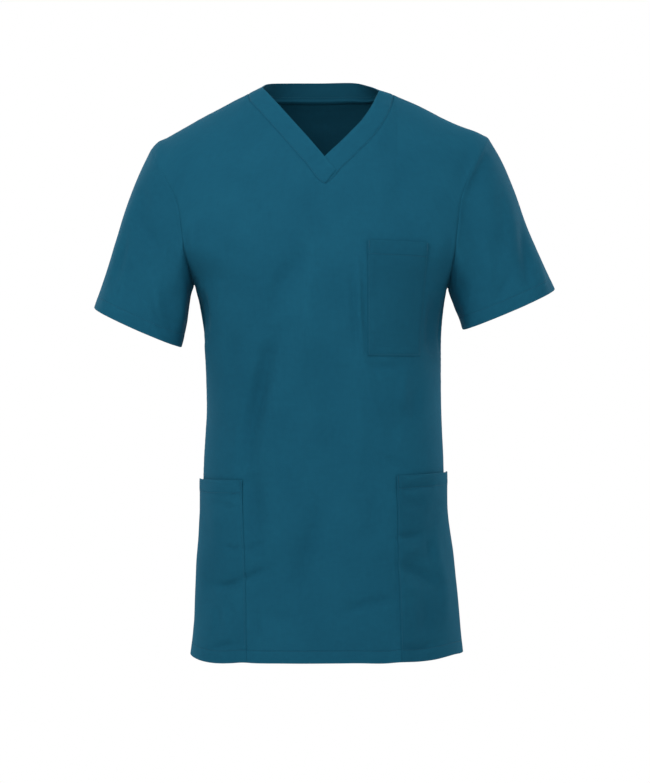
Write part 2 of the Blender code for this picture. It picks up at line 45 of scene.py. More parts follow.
CORNER_SLACK = 3.0    # how far a lower pocket's top corner stands off the side seam

AMBIENT = 0.44
LAMPS = (
    # name, place, what it looks at, size, share
    ("key", (-1.05, -1.25, 0.8), (0.0, 0.0, -0.3), 0.8, 0.34),
    ("front", (-0.1, -1.6, 0.75), (0.0, 0.0, -0.3), 0.9, 0.25),
    ("fill", (1.2, -1.5, 0.3), (0.0, 0.0, -0.35), 1.0, 0.125),
    ("left", (-1.7, 1.4, 0.8), (-0.1, 0.0, -0.4), 1.0, 0.36),
    ("right", (1.8, 1.2, 0.7), (0.1, 0.0, -0.4), 1.0, 0.52),
    ("behind", (-0.3, 2.4, 0.8), (0.0, 0.0, -0.3), 1.6, 0.30),
)

# ---------------------------------------------------------------------------------------------
# The cut: the tables and rules that the solids come from, in mm.


class Table:
    """Rows of named columns, read between rows along a smooth curve. The first column is the key."""

    def __init__(self, names, *rows):
        self.names = names.split()
        self.rows = np.array(sorted(rows), float)

    def at(self, name, key):
        k = self.rows[:, 0]
        v = self.rows[:, self.names.index(name)]
        slope = np.gradient(v, k)
        key = np.clip(np.asarray(key, float), k[0], k[-1])
        i = np.clip(np.searchsorted(k, key, side="right") - 1, 0, len(k) - 2)
        h = k[i + 1] - k[i]
        t = (key - k[i]) / h
        return ((2 * t**3 - 3 * t**2 + 1) * v[i] + (t**3 - 2 * t**2 + t) * h * slope[i]
                + (3 * t**2 - 2 * t**3) * v[i + 1] + (t**3 - t**2) * h * slope[i + 1])


# Body sections: the side seams' places, how far the middle of the front and of the back stand out
# from them, and how square the front's corners are on each side.
BODY = Table(
    "height right left front back square_right square_left",
    (-726, -168.6, 182.6, 115, 120, 3.0, 2.05),
    (-691, -165.2, 178.5, 114, 119, 2.8, 2.1),
    (-660, -163.4, 175.8, 113, 117, 2.6, 2.15),
    (-598, -160.3, 169.8, 111, 110, 2.5, 2.2),
    (-535, -155.5, 159.3, 109, 101, 2.4, 2.25),
    (-473, -153.0, 156.4, 108, 95, 2.3, 2.3),
    (-426, -150.4, 154.5, 109, 94, 2.3, 2.3),
    (-364, -150.8, 154.7, 113, 99, 2.3, 2.3),
    (-309, -154.4, 155.9, 118, 107, 2.3, 2.3),
    (-278, -159.5, 159.0, 120, 111, 2.3, 2.3),
    (-251, -165.4, 162.9, 121, 114, 2.3, 2.3),
    (-160, -170.0, 168.0, 121, 116, 2.3, 2.3),
)

# How far the hem sags below its level.
HEM = Table(
    "x front back",
    (-169, 0.0, 0.0), (-159, 1.9, 0.4), (-143, 3.4, 1.2), (-127, 3.2, 1.6), (-113, 2.0, 1.2), (-99, 0.6, 0.6),
    (-85, 1.0, 0.8), (-50, 0.9, 1.6), (0, 0.8, 0.6), (50, 0.9, 1.2), (80, 1.9, 0.6), (96, 1.3, 1.0), (124, 1.8, 1.6),
    (142, 1.2, 0.8), (158, -0.4, 0.3), (172, -1.4, 0.0), (183, 0.0, 0.0),
)
HEM_REACH = 60.0    # height over which the sag dies out

# Height of the shoulder ridge across the body.
SHOULDER = Table(
    "x height",
    (-221.4, -74), (-214.5, -66.5), (-200, -59), (-187, -51.5), (-160, -36), (-131, -20.5),
    (-102, -5), (-77, 7), (-40, 22), (0, 29), (40, 22), (75, 6), (102, -7.6), (131, -20.5),
    (161, -36), (181, -44.8), (200, -51.8), (215.8, -59.5),
)

UNDERARM_RIGHT, TIP_RIGHT = -250.9, -74.0
UNDERARM_LEFT, TIP_LEFT = -254.7, -59.5

# Armhole seams, by the share of the way from underarm to shoulder tip: distance from the middle.
ARMHOLE = Table(
    "rise right_front right_back left_front left_back",
    (0.00, 165.4, 165.4, 162.9, 162.9),
    (0.10, 168.6, 169.4, 164.8, 166.6),
    (0.25, 174.6, 177.0, 168.8, 173.2),
    (0.40, 178.4, 183.6, 172.4, 179.6),
    (0.55, 182.5, 190.0, 176.2, 185.4),
    (0.65, 189.5, 195.6, 182.5, 190.8),
    (0.75, 199.5, 203.5, 191.0, 197.8),
    (0.87, 211.5, 212.5, 203.0, 206.0),
    (1.00, 221.4, 221.4, 215.8, 215.8),
)
SEAM_FRONT, SEAM_BACK = 80.0, 72.0   # depth of the armhole seams before the shoulder rolls over
SEAM_FULL = 0.30                      # the rise at which they have it

# How tightly the cloth rolls over the shoulder, from the middle out.
ROLL = Table(
    "x front back",
    (0, 1.50, 3.30), (60, 1.52, 3.20), (100, 1.60, 2.90), (150, 1.72, 2.45), (200, 1.95, 2.1), (222, 2.0, 2.0),
)

# Long soft folds. Each is a line on the panel, from one end to the other by way of its middle, that
# sinks (negative) or rises, and dies out at both ends.
FOLDS = (
    # side, x0, z0, x1, z1, x2, z2, width, rise
    ("front", -66, -318, -84, -385, -96, -450, 24, -3.4),
    ("front", -45, -300, -64, -430, -77, -575, 30, 2.6),
    ("front", -46, -215, -62, -280, -75, -338, 26, -2.4),
    ("front", 6, -250, -14, -320, -28, -384, 26, 2.2),
    ("front", 44, -262, 46, -320, 46, -381, 16, 1.6),
    ("front", -150, -545, -118, -528, -92, -530, 18, -1.8),
    ("front", -155, -640, -110, -628, -52, -608, 20, -2.0),
    ("front", 92, -596, 118, -604, 150, -590, 18, -1.8),
    ("front", 22, -648, 60, -672, 97, -690, 26, -1.6),
    ("front", 118, -352, 100, -420, 96, -480, 30, -2.4),
    ("front", -158, -262, -146, -300, -140, -350, 18, -2.2),
    ("front", 158, -262, 148, -300, 140, -345, 18, -2.2),
    ("back", 64, -250, 82, -350, 84, -470, 30, -3.6),
    ("back", -70, -262, -92, -360, -86, -452, 28, -3.2),
    ("back", 18, -330, 6, -440, 14, -560, 34, 2.8),
    ("back", -36, -380, -44, -470, -40, -590, 28, -2.2),
    ("back", 120, -520, 104, -600, 112, -690, 30, 2.6),
    ("back", -122, -500, -112, -590, -120, -670, 26, 2.2),
    ("back", -150, -270, -138, -310, -132, -366, 20, -2.4),
    ("back", 150, -268, 140, -318, 134, -352, 20, -2.2),
)

# Sleeves, by the share of the way from armhole to cuff: the upper line, the lower line, and how far
# the cloth stands out in front and behind.
SLEEVE_RIGHT = Table(
    "along over_x over_z under_x under_z front back droop",
    (0.00, -221.4, -74.0, -165.4, -250.9, 70, 62, 0.0),
    (0.15, -236.0, -104.0, -169.0, -263.0, 67, 61, 0.0),
    (0.35, -251.8, -144.0, -172.6, -279.0, 62, 59, 0.8),
    (0.60, -267.9, -196.0, -176.0, -299.0, 57, 57, 2.0),
    (0.80, -281.2, -238.0, -179.4, -315.0, 54, 55, 3.4),
    (1.00, -295.6, -279.0, -183.0, -329.0, 52, 53, 5.2),
)
SLEEVE_LEFT = Table(
    "along over_x over_z under_x under_z front back droop",
    (0.00, 215.8, -59.5, 162.9, -254.7, 70, 62, 0.0),
    (0.15, 232.4, -88.0, 166.0, -263.5, 67, 61, 0.0),
    (0.35, 249.0, -127.0, 170.5, -274.5, 62, 59, 0.8),
    (0.60, 266.5, -177.0, 176.5, -287.5, 57, 57, 2.0),
    (0.80, 284.0, -216.5, 180.3, -296.6, 54, 55, 3.6),
    (1.00, 302.0, -255.0, 183.0, -305.6, 52, 53, 6.0),
)
SLEEVE_STEPS = (0.0, 0.05, 0.14, 0.27, 0.42, 0.58, 0.75, 0.90, 1.0)
SLEEVE_SQUARE_OVER, SLEEVE_SQUARE_UNDER = 2.4, 3.2

# Levels of the front and back: the ends' heights at the right and left side seams, and the rows up to the next.
LEVELS = (
    # name, right, left, rows
    ("hem", -726.0, -726.0, 9),
    ("lower_pocket_mouth", -502.0, -493.0, 7),
    ("chest_pocket_foot", -344.5, -344.5, 5),
    ("underarm", UNDERARM_RIGHT, UNDERARM_LEFT, 0),
)
ARM_RISES = (0.018, 0.068, 0.155)     # rows just above the underarm, where the armhole curves most
YOKE_RIGHT, YOKE_LEFT = 0.332, 0.257  # rise of the row at the chest pocket's mouth
YOKE_ROWS = 8                         # from there to the shoulder, the last one narrow
YOKE_EDGE = 0.965

# Columns of the front: the lines that its pockets and neck need.
COLUMNS = Table(
    "height right_pocket middle chest_in left_pocket chest_out",
    (-726, -93.6, 3.0, 57.3, 98.9, 130.0),
    (-610, -96.5, 3.0, 57.3, 97.0, 128.0),
    (-499, -101.5, 3.0, 57.3, 93.4, 126.0),
    (-344, -101.0, 3.0, 57.2, 93.0, 124.8),
    (-200, -100.0, 3.0, 56.8, 94.5, 133.4),
)
COLUMN_NAMES = ("right_pocket", "middle", "chest_in", "left_pocket", "chest_out")
COLUMN_CELLS = (6, 6, 3, 2, 3, 4)
BACK_SHOULDER_CELLS, BACK_NECK_CELLS = 5, 10

# The neck: the outer seam of the band, and its free edge. Heights in front come with x, and behind with y.
NECK_SEAM_FRONT = Table(
    "x height",
    (-96, -12.3), (-72, -40.5), (-48, -69.8), (-22, -100.5), (3.1, -128.2), (27, -106), (48, -85), (69.8, -60.5), (84, -37), (93.2, -15.7),
)
NECK_SEAM_BACK = Table(
    "turn x y",
    (0.0, -96.0, -14.0), (0.13, -94.5, 10.0), (0.27, -84.0, 42.0), (0.39, -55.0, 70.2), (0.50, -1.0, 81.0),
    (0.61, 53.0, 70.2), (0.73, 81.6, 42.0), (0.87, 91.8, 10.0), (1.0, 93.2, -14.0),
)
NECK_EDGE_RIGHT = Table("x height", (-77, 4.5), (-57, -19.8), (-36.3, -44.8), (-16, -69.0), (3.1, -92.6), (17.6, -110.0))
NECK_EDGE_LEFT = Table("x height", (3.1, -92.6), (34.9, -61.0), (55.1, -37.0), (67.5, -15.5), (74.4, 0.5))
NECK_EDGE_BACK = Table(
    "turn x y z",
    (0.0, -77.0, -7.2, 4.5), (0.12, -77.5, 11.0, 9.2), (0.26, -70.0, 47.0, 18.2), (0.38, -45.0, 70.0, 21.9),
    (0.50, -2.0, 79.0, 23.2), (0.62, 42.0, 70.0, 22.4), (0.74, 63.0, 47.0, 15.0), (0.88, 74.0, 9.0, 4.7),
    (1.0, 74.4, -12.2, 0.5),
)
BAND_CELLS, BAND_ROWS = 10, 2
SEAM_DROP_RIGHT, SEAM_DROP_LEFT = -0.105, -0.105   # the shoulder seams lie in front of the ridge at the neck


def ease(t):
    t = np.clip(t, 0.0, 1.0)
    return t * t * (3 - 2 * t)


def rise(x, z):
    """Share of the way up the armhole, on the side that x is on."""
    right = (z - UNDERARM_RIGHT) / (TIP_RIGHT - UNDERARM_RIGHT)
    left = (z - UNDERARM_LEFT) / (TIP_LEFT - UNDERARM_LEFT)
    return np.where(x < 0, right, left)


def section(side, x, z):
    """How far the cloth stands out from the side seams' plane, before the shoulder rolls over."""
    x, z = np.asarray(x, float), np.asarray(z, float)
    up = rise(x, z)
    ends = {}
    for s, sign in (("right", -1), ("left", 1)):
        u = (z - (UNDERARM_RIGHT if s == "right" else UNDERARM_LEFT)) / (
            TIP_RIGHT - UNDERARM_RIGHT if s == "right" else TIP_LEFT - UNDERARM_LEFT)
        ends[s] = np.where(u > 0, sign * ARMHOLE.at(s + "_" + side, u), BODY.at(s, z))
    middle = (ends["right"] + ends["left"]) / 2
    end = np.where(x < middle, ends["right"], ends["left"])
    part = np.clip((x - middle) / (end - middle), 0, 1)
    square = np.where(x < middle, BODY.at("square_right", z), BODY.at("square_left", z)) if side == "front" else 2.3
    bulge = BODY.at(side, z)
    full = np.clip(up / SEAM_FULL, 0, 1)
    seam = (SEAM_FRONT if side == "front" else SEAM_BACK) * (1 - (1 - full) ** 2) ** 0.8
    # Above the underarm the section would go on past the armhole seam, which cuts it at the seam's depth.
    cut = (1 - (seam / bulge) ** square) ** (1 / square)
    return bulge * (1 - (cut * part) ** square) ** (1 / square)


def folds(side, x, z):
    total = np.zeros(np.broadcast(x, z).shape)
    for where, x0, z0, x1, z1, x2, z2, width, height in FOLDS:
        if where != side:
            continue
        best = np.full(total.shape, 1e9)
        fade = np.zeros(total.shape)
        for k in range(25):
            t = k / 24
            px = (1 - t) ** 2 * x0 + 2 * t * (1 - t) * (2 * x1 - (x0 + x2) / 2) + t * t * x2
            pz = (1 - t) ** 2 * z0 + 2 * t * (1 - t) * (2 * z1 - (z0 + z2) / 2) + t * t * z2
            d = np.hypot(x - px, z - pz)
            near = d < best
            best = np.where(near, d, best)
            fade = np.where(near, math.sin(math.pi * min(max(t, 0.08), 0.92)) ** 0.8, fade)
        total += height * fade * np.exp(-(best / (0.55 * width)) ** 2)
    return total


def body(side, x, z):
    """A point of the front or back below the shoulders' roll."""
    x, z = np.broadcast_arrays(np.asarray(x, float), np.asarray(z, float))
    sign = -1 if side == "front" else 1
    depth = section(side, x, z)
    n = ROLL.at(side, np.abs(x))
    t = np.clip((z - CHEST) / (SHOULDER.at("height", x) - CHEST), 0, 1)
    y = depth * (1 - t**n) ** (1 / n)
    fade = np.clip(y / 40, 0, 1) ** 2
    sag = HEM.at(side, x) * (1 - ease((z - LEVELS[0][1]) / HEM_REACH))
    return np.stack([x, sign * (y + fade * folds(side, x, z)), z - sag], -1)


def over(x, w):
    """A point of the cloth that passes over the shoulder: w is -1 at the chest, 0 on the ridge and 1 behind."""
    x, w = np.broadcast_arrays(np.asarray(x, float), np.asarray(w, float))
    out = np.zeros(x.shape + (3,))
    for side, sign in (("front", -1), ("back", 1)):
        n = ROLL.at(side, np.abs(x))
        q = np.clip(1 - np.abs(w), 0, 1) * math.pi / 2
        t = np.sin(q) ** (2 / n)
        roll = np.cos(q) ** (2 / n)
        z = CHEST + (SHOULDER.at("height", x) - CHEST) * t
        y = section(side, x, z) * roll
        y = y + np.clip(y / 40, 0, 1) ** 2 * folds(side, x, z)
        here = (w < 0) if side == "front" else (w >= 0)
        out = np.where(here[..., None], np.stack([x, sign * y, z], -1), out)
    return out


def turn_of(side, x, z):
    """The w of a point of the front or back, from its height."""
    n = ROLL.at(side, np.abs(x))
    t = np.clip((z - CHEST) / (SHOULDER.at("height", x) - CHEST), 0, 1)
    q = np.arcsin(t ** (n / 2)) * 2 / math.pi
    return -(1 - q) if side == "front" else 1 - q


def turn_from_depth(x, y):
    """The w of a point behind or before the ridge, from its y."""
    low, high = np.full(np.shape(x), -0.6), np.full(np.shape(x), 0.9)
    for _ in range(40):
        mid = (low + high) / 2
        less = over(x, mid)[..., 1] < y
        low, high = np.where(less, mid, low), np.where(less, high, mid)
    return (low + high) / 2


def armhole(side, hand, up):
    """x and z of the armhole seam."""
    up = np.asarray(up, float)
    if hand == "right":
        return -ARMHOLE.at("right_" + side, up), UNDERARM_RIGHT + (TIP_RIGHT - UNDERARM_RIGHT) * up
    return ARMHOLE.at("left_" + side, up), UNDERARM_LEFT + (TIP_LEFT - UNDERARM_LEFT) * up


def spread(side, keys, cells, left_end, right_end, square):
    """x of each column of a row: the key columns, with those between them at even turns round the section."""
    middle = (left_end + right_end) / 2
    half = (right_end - left_end) / 2
    stops = [left_end, *keys, right_end]
    turns = []
    for x in stops:
        s = min(max((x - middle) / half, -1), 1)
        turns.append(math.copysign(math.asin(abs(s) ** (square / 2)), s))
    xs = []
    for t0, t1, count in zip(turns, turns[1:], cells):
        for k in range(count):
            a = t0 + (t1 - t0) * k / count
            xs.append(middle + half * math.copysign(abs(math.sin(a)) ** (2 / square), a))
    xs.append(right_end)
    return np.array(xs)


def yoke_rows(side, low, cells, lift):
    """The rows above the chest pocket's mouth: they bend from the level one below to the shoulder seams and neck."""
    count = len(low)
    fine = (count - 1) // sum(COLUMN_CELLS if side == "front" else (BACK_SHOULDER_CELLS * 2 + BACK_NECK_CELLS,))
    w_low = turn_of(side, low[:, 0], low[:, 2])
    phi = lambda u: math.acos(2 * u - 1)
    up_r = (np.cos(phi(YOKE_RIGHT) * (1 - lift)) + 1) / 2
    up_l = (np.cos(phi(YOKE_LEFT) * (1 - lift)) + 1) / 2
    rx, rz = armhole(side, "right", up_r)
    lx, lz = armhole(side, "left", up_l)
    rw, lw = turn_of(side, rx, rz), turn_of(side, lx, lz)
    rw[-1] = lw[-1] = 0.0
    if side == "front":
        n_r, n_v1 = COLUMN_CELLS[0] * fine, COLUMN_CELLS[1] * fine
        n_v2, n_l = (COLUMN_CELLS[2] + COLUMN_CELLS[3]) * fine, (COLUMN_CELLS[4] + COLUMN_CELLS[5]) * fine
        tip = 3.1
        xr = np.linspace(-221.4, -96.0, n_r + 1)
        xv1 = np.linspace(-96.0, tip, n_v1 + 1)
        xv2 = np.linspace(tip, 93.2, n_v2 + 1)
        xl = np.linspace(93.2, 215.8, n_l + 1)
        w_seam_r = SEAM_DROP_RIGHT * ease((xr + 221.4) / 125.4)
        w_seam_l = SEAM_DROP_LEFT * ease((215.8 - xl) / 122.6)
        xv = np.concatenate([xv1, xv2[1:]])
        w_v = turn_of("front", xv, NECK_SEAM_FRONT.at("height", xv))
        top_x = np.concatenate([xr[:-1], xv, xl[1:]])
        top_w = np.concatenate([w_seam_r[:-1], w_v, w_seam_l[1:]])
        top_w[n_r], top_w[n_r + n_v1 + n_v2] = w_seam_r[-1], w_seam_l[0]
    else:
        n = BACK_SHOULDER_CELLS * fine
        xr = np.linspace(-221.4, -96.0, n + 1)
        xl = np.linspace(93.2, 215.8, n + 1)
        turn = np.linspace(0, 1, BACK_NECK_CELLS * fine + 1)
        xn, yn = NECK_SEAM_BACK.at("x", turn), NECK_SEAM_BACK.at("y", turn)
        wn = turn_from_depth(xn, yn)
        w_seam_r = SEAM_DROP_RIGHT * ease((xr + 221.4) / 125.4)
        w_seam_l = SEAM_DROP_LEFT * ease((215.8 - xl) / 122.6)
        wn[0], wn[-1] = w_seam_r[-1], w_seam_l[0]
        top_x = np.concatenate([xr[:-1], xn, xl[1:]])
        top_w = np.concatenate([w_seam_r[:-1], wn, w_seam_l[1:]])
    u = np.linspace(0, 1, count)
    bottom = np.stack([low[:, 0], w_low], -1)
    top = np.stack([top_x, top_w], -1)
    right = np.stack([rx, rw], -1)
    left = np.stack([lx, lw], -1)
    way = ((rw - rw[0]) / (rw[-1] - rw[0]) + (lw - lw[0]) / (lw[-1] - lw[0])) / 2
    rows = []
    for k in range(1, len(lift)):
        v = way[k]
        mix = ((1 - v) * bottom + v * top + (1 - u)[:, None] * right[k] + u[:, None] * left[k]
               - ((1 - u) * (1 - v))[:, None] * bottom[0] - (u * (1 - v))[:, None] * bottom[-1]
               - ((1 - u) * v)[:, None] * top[0] - (u * v)[:, None] * top[-1])
        rows.append(over(mix[:, 0], mix[:, 1]))
    return rows


def pull_in(grid, edge, distance):
    """Moves an edge of a grid of points back into the grid."""
    g = grid if edge in ("first_row", "last_row") else np.swapaxes(grid, 0, 1)
    a, b = (0, 1) if edge in ("first_row", "first_column") else (-1, -2)
    step = g[b] - g[a]
    length = np.maximum(np.linalg.norm(step, axis=-1, keepdims=True), 1e-6)
    g[a] = g[a] + step / length * np.minimum(distance, 0.3 * length)


# ---------------------------------------------------------------------------------------------
# The same cut at a finer pitch.

FINE = 6                                   # columns for each of the pattern's own
ROW_FINE = 8                               # rows for each of the pattern's own, below the underarm
ARM_FINE = (2, 3, 5, 9)                    # rows between the underarm, the rises above it and the pocket's mouth
YOKE_FINE = 7

BODY_HEM = 15.0       # depth of the turned hem, in mm, with its stitching line
CUFF_HEM = 16.0
CHEST_HEM = 17.0      # turned mouths of the pockets
LOWER_HEM = 16.0
CLOTH_THICK = 0.55    # one layer, a little full so that it holds its form
HEM_THICK = 1.30      # three layers, pressed


def fine_panel(side):
    """The front or back as a dense grid of points, in the same places as the cut's own."""
    cells = COLUMN_CELLS if side == "front" else (BACK_SHOULDER_CELLS * 2 + BACK_NECK_CELLS,)
    cells = tuple(c * FINE for c in cells)
    ends = []
    for (_, r0, l0, count), (_, r1, l1, _) in zip(LEVELS, LEVELS[1:]):
        n = count * ROW_FINE
        for k in range(n):
            r, l = r0 + (r1 - r0) * k / n, l0 + (l1 - l0) * k / n
            ends.append((float(BODY.at("right", r)), r, float(BODY.at("left", l)), l))
    under = len(ends)
    stops = [(0.0, 0.0)] + [(u, u) for u in ARM_RISES] + [(YOKE_RIGHT, YOKE_LEFT)]
    for (r0, l0), (r1, l1), n in zip(stops, stops[1:], ARM_FINE):
        for k in range(n):
            ur, ul = r0 + (r1 - r0) * k / n, l0 + (l1 - l0) * k / n
            ends.append(tuple(float(v) for v in (*armhole(side, "right", ur), *armhole(side, "left", ul))))
    ends.append(tuple(float(v) for v in (*armhole(side, "right", YOKE_RIGHT), *armhole(side, "left", YOKE_LEFT))))
    rows = []
    for xr, zr, xl, zl in ends:
        zm = (zr + zl) / 2
        keys = [float(COLUMNS.at(n, zm)) for n in COLUMN_NAMES] if side == "front" else []
        x = spread(side, keys, cells, xr, xl, 2.3)
        z = zr + (zl - zr) * (x - xr) / (xl - xr)
        rows.append(body(side, x, z))
    yoke = len(rows) - 1
    rows += yoke_rows(side, rows[-1], cells, np.linspace(0, 1, YOKE_ROWS * YOKE_FINE + 1))
    return np.array(rows), under, yoke


# ---------------------------------------------------------------------------------------------
# Tools for grids of points. A grid has rows along v and columns along u.


def unit(v):
    return v / np.maximum(np.linalg.norm(v, axis=-1, keepdims=True), 1e-9)


def surface_normals(grid, closed=False):
    if closed:
        wide = np.concatenate([grid[:, -1:], grid, grid[:, :1]], axis=1)
        du = np.gradient(wide, axis=1)[:, 1:-1]
    else:
        du = np.gradient(grid, axis=1)
    dv = np.gradient(grid, axis=0)
    n = np.cross(du, dv)
    size = np.linalg.norm(n, axis=-1)
    n = unit(n)
    # Where the cloth runs to a point, the row below gives the direction.
    for i in range(1, len(n)):
        weak = size[i] < 1e-4 * max(size[i].max(), 1e-9)
        n[i] = np.where(weak[:, None], n[i - 1], n[i])
    return n


def resample(grid, rows, cols):
    """The grid at fractional row and column places."""
    rows, cols = np.asarray(rows, float), np.asarray(cols, float)
    i = np.clip(np.floor(rows).astype(int), 0, grid.shape[0] - 2)
    j = np.clip(np.floor(cols).astype(int), 0, grid.shape[1] - 2)
    a = (rows - i)[:, None, None]
    b = (cols - j)[None, :, None]
    g = grid if grid.ndim == 3 else grid[..., None]
    out = ((g[i][:, j] * (1 - a) + g[i + 1][:, j] * a) * (1 - b)
           + (g[i][:, j + 1] * (1 - a) + g[i + 1][:, j + 1] * a) * b)
    return out if grid.ndim == 3 else out[..., 0]


def lengths(grid):
    """Distance along each row and each column, in mm, measured on the cloth."""
    across = np.linalg.norm(np.diff(grid, axis=1), axis=-1)
    up = np.linalg.norm(np.diff(grid, axis=0), axis=-1)
    u = np.concatenate([np.zeros((grid.shape[0], 1)), np.cumsum(across, 1)], 1)
    v = np.concatenate([np.zeros((1, grid.shape[1])), np.cumsum(up, 0)], 0)
    return u, v


def places(count, extra):
    """Whole places 0 to count with extra ones between them."""
    return np.unique(np.round(np.concatenate([np.arange(count + 1), np.asarray(extra, float)]), 4))


def soft_noise(a, b, seed, count=10):
    """A smooth uneven field, made of a few long waves."""
    rng = np.random.RandomState(seed)
    total = np.zeros(np.broadcast(a, b).shape)
    for _ in range(count):
        angle, wave, phase = rng.uniform(0, math.pi), rng.uniform(0.6, 1.9), rng.uniform(0, 2 * math.pi)
        total += np.sin((a * math.cos(angle) + b * math.sin(angle)) * wave + phase) / count**0.5
    return total


def ripple(s, seed, pitch):
    """Uneven gathers along a line of stitching, from -1 to 1."""
    rng = np.random.RandomState(seed)
    total = 0
    for k, share in enumerate((1.0, 0.8, 0.6, 0.5)):
        wave = 2 * math.pi / (pitch * (0.62 + 0.37 * k) * rng.uniform(0.9, 1.1))
        swell = 0.55 + 0.45 * np.sin(s / (pitch * rng.uniform(4, 9)) + rng.uniform(0, 6))
        total = total + share * swell * np.sin(s * wave + rng.uniform(0, 6))
    return total / 2.2


def creases(rows, side, a, b):
    """Height of the creases at the points (a, b) of a panel. Each runs along a bent line through three points. It
    sinks or rises by its height, has a width at each end, and one of its sides can be broader than the other."""
    total = np.zeros(np.broadcast(a, b).shape)
    for where, a0, b0, a1, b1, a2, b2, w0, w1, height, skew in rows:
        if where != side:
            continue
        reach = 3.4 * max(w0, w1)
        near = ((a > min(a0, a1, a2) - reach) & (a < max(a0, a1, a2) + reach)
                & (b > min(b0, b1, b2) - reach) & (b < max(b0, b1, b2) + reach))
        if not near.any():
            continue
        pa, pb = a[near], b[near]
        best = np.full(pa.shape, 1e9)
        signed = np.zeros(pa.shape)
        along = np.zeros(pa.shape)
        ca, cb = 2 * a1 - (a0 + a2) / 2, 2 * b1 - (b0 + b2) / 2
        steps = 48
        for k in range(steps + 1):
            t = k / steps
            qa = (1 - t) ** 2 * a0 + 2 * t * (1 - t) * ca + t * t * a2
            qb = (1 - t) ** 2 * b0 + 2 * t * (1 - t) * cb + t * t * b2
            ta = 2 * (1 - t) * (ca - a0) + 2 * t * (a2 - ca)
            tb = 2 * (1 - t) * (cb - b0) + 2 * t * (b2 - cb)
            d = np.hypot(pa - qa, pb - qb)
            closer = d < best
            best = np.where(closer, d, best)
            cross = ((pa - qa) * tb - (pb - qb) * ta) / math.hypot(ta, tb)
            signed = np.where(closer, cross, signed)
            along = np.where(closer, t, along)
        width = w0 + (w1 - w0) * along
        s = signed / width
        # Past an end, the distance from the end counts too.
        past = np.sqrt(np.maximum(best**2 - signed**2, 0)) / width
        fade = np.sin(math.pi * np.clip(along, 0.05, 0.95)) ** 0.75
        s = s / np.where(s > 0, 1 + skew, 1 - skew)
        total[near] += height * fade * np.exp(-(s**2) - past**2)
    return total


# ---------------------------------------------------------------------------------------------
# Meshes


def finish(name, verts, faces, uvs, material, node=None, fold=None):
    mesh = bpy.data.meshes.new(name)
    mesh.from_pydata((np.asarray(verts) * MM).tolist(), [], [list(map(int, f)) for f in faces])
    mesh.shade_smooth()
    # The fold attribute carries painted crease shade and highlight, which the cloth material adds to its colour.
    if fold is not None:
        layer = mesh.attributes.new(name="fold", type="FLOAT", domain="POINT")
        layer.data.foreach_set("value", np.asarray(fold, dtype=np.float32))
    if uvs is not None:
        layer = mesh.uv_layers.new(name="cloth")
        loops = np.empty(len(mesh.loops), dtype=np.int32)
        mesh.loops.foreach_get("vertex_index", loops)
        layer.data.foreach_set("uv", np.asarray(uvs, dtype=np.float32)[loops].ravel())
    obj = bpy.data.objects.new(name, mesh)
    bpy.context.scene.collection.objects.link(obj)
    mesh.materials.append(material)
    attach(obj, "root")
    if node:
        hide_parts(node)
    return obj


def shell(name, grid, normal, thick, uv, material, outward, closed=False, node=None, roll=0.42, inside=None, fold=None):
    """A piece of cloth as a thin closed shell with rounded edges. normal is the outward direction at each point and
    thick the thickness there, in mm. outward is 1 where rows and columns turn about it to the left, else -1."""
    rows, cols = grid.shape[:2]
    thick = np.broadcast_to(thick, (rows, cols))
    outer = grid
    inner = grid - normal * thick[..., None]
    index = np.arange(rows * cols).reshape(rows, cols)
    off = rows * cols
    right = np.roll(index, -1, axis=1) if closed else index[:, 1:]
    left = index if closed else index[:, :-1]
    quads = np.stack([left[:-1], right[:-1], right[1:], left[1:]], -1).reshape(-1, 4)
    faces = [quads, quads[:, ::-1] + off]
    verts = [outer.reshape(-1, 3), inner.reshape(-1, 3)]
    flat_uv = uv.reshape(-1, 2)
    uvs = [flat_uv, flat_uv]
    low, high = unit(grid[0] - grid[1]), unit(grid[-1] - grid[-2])
    first, last = unit(grid[:, 0] - grid[:, 1]), unit(grid[:, -1] - grid[:, -2])
    if closed:
        loops = [(index[0], low, True), (index[-1][::-1], high[::-1], True)]
    else:
        line = np.concatenate([index[0], index[1:, -1], index[-1, ::-1][1:], index[::-1, 0][1:-1]])
        away = np.concatenate([low, last[1:], high[::-1][1:], first[::-1][1:-1]])
        for place, extra in ((0, first[0]), (cols - 1, last[0]), (cols + rows - 2, last[-1]), (2 * cols + rows - 3, first[-1])):
            base = {0: low[0], cols - 1: low[-1], cols + rows - 2: high[-1], 2 * cols + rows - 3: high[0]}[place]
            away[place] = unit(base + extra) * 1.2
        loops = [(line, away, True)]
    total = 2 * off
    for line, away, _ in loops:
        pair = np.concatenate([verts[0], verts[1]])
        t = thick.reshape(-1)[line][:, None]
        mid = (pair[line] + pair[line + off]) / 2 + away * t * roll
        verts.append(mid)
        uvs.append(flat_uv[line])
        m = total + np.arange(len(line))
        total += len(line)
        q, mq = np.roll(line, -1), np.roll(m, -1)
        faces.append(np.stack([q, line, m, mq], -1))
        faces.append(np.stack([mq, m, line + off, q + off], -1))
    faces = np.concatenate(faces)
    if outward < 0:
        faces = faces[:, ::-1]
    verts = np.concatenate(verts)
    # Painted crease shade and highlight, on the outer surface only.
    crease_shade_paint = np.zeros(len(verts))
    if fold is not None:
        crease_shade_paint[:off] = fold.reshape(-1)
    obj = finish(name, verts, faces, np.concatenate(uvs), material, node, crease_shade_paint)
    # Inner faces take the darker inside material: painted shade of the garment's inside.
    if inside is not None:
        obj.data.materials.append(inside)
        slots = np.zeros(len(faces), dtype=np.int32)
        slots[len(quads):2 * len(quads)] = 1
        obj.data.polygons.foreach_set("material_index", slots)
    return obj


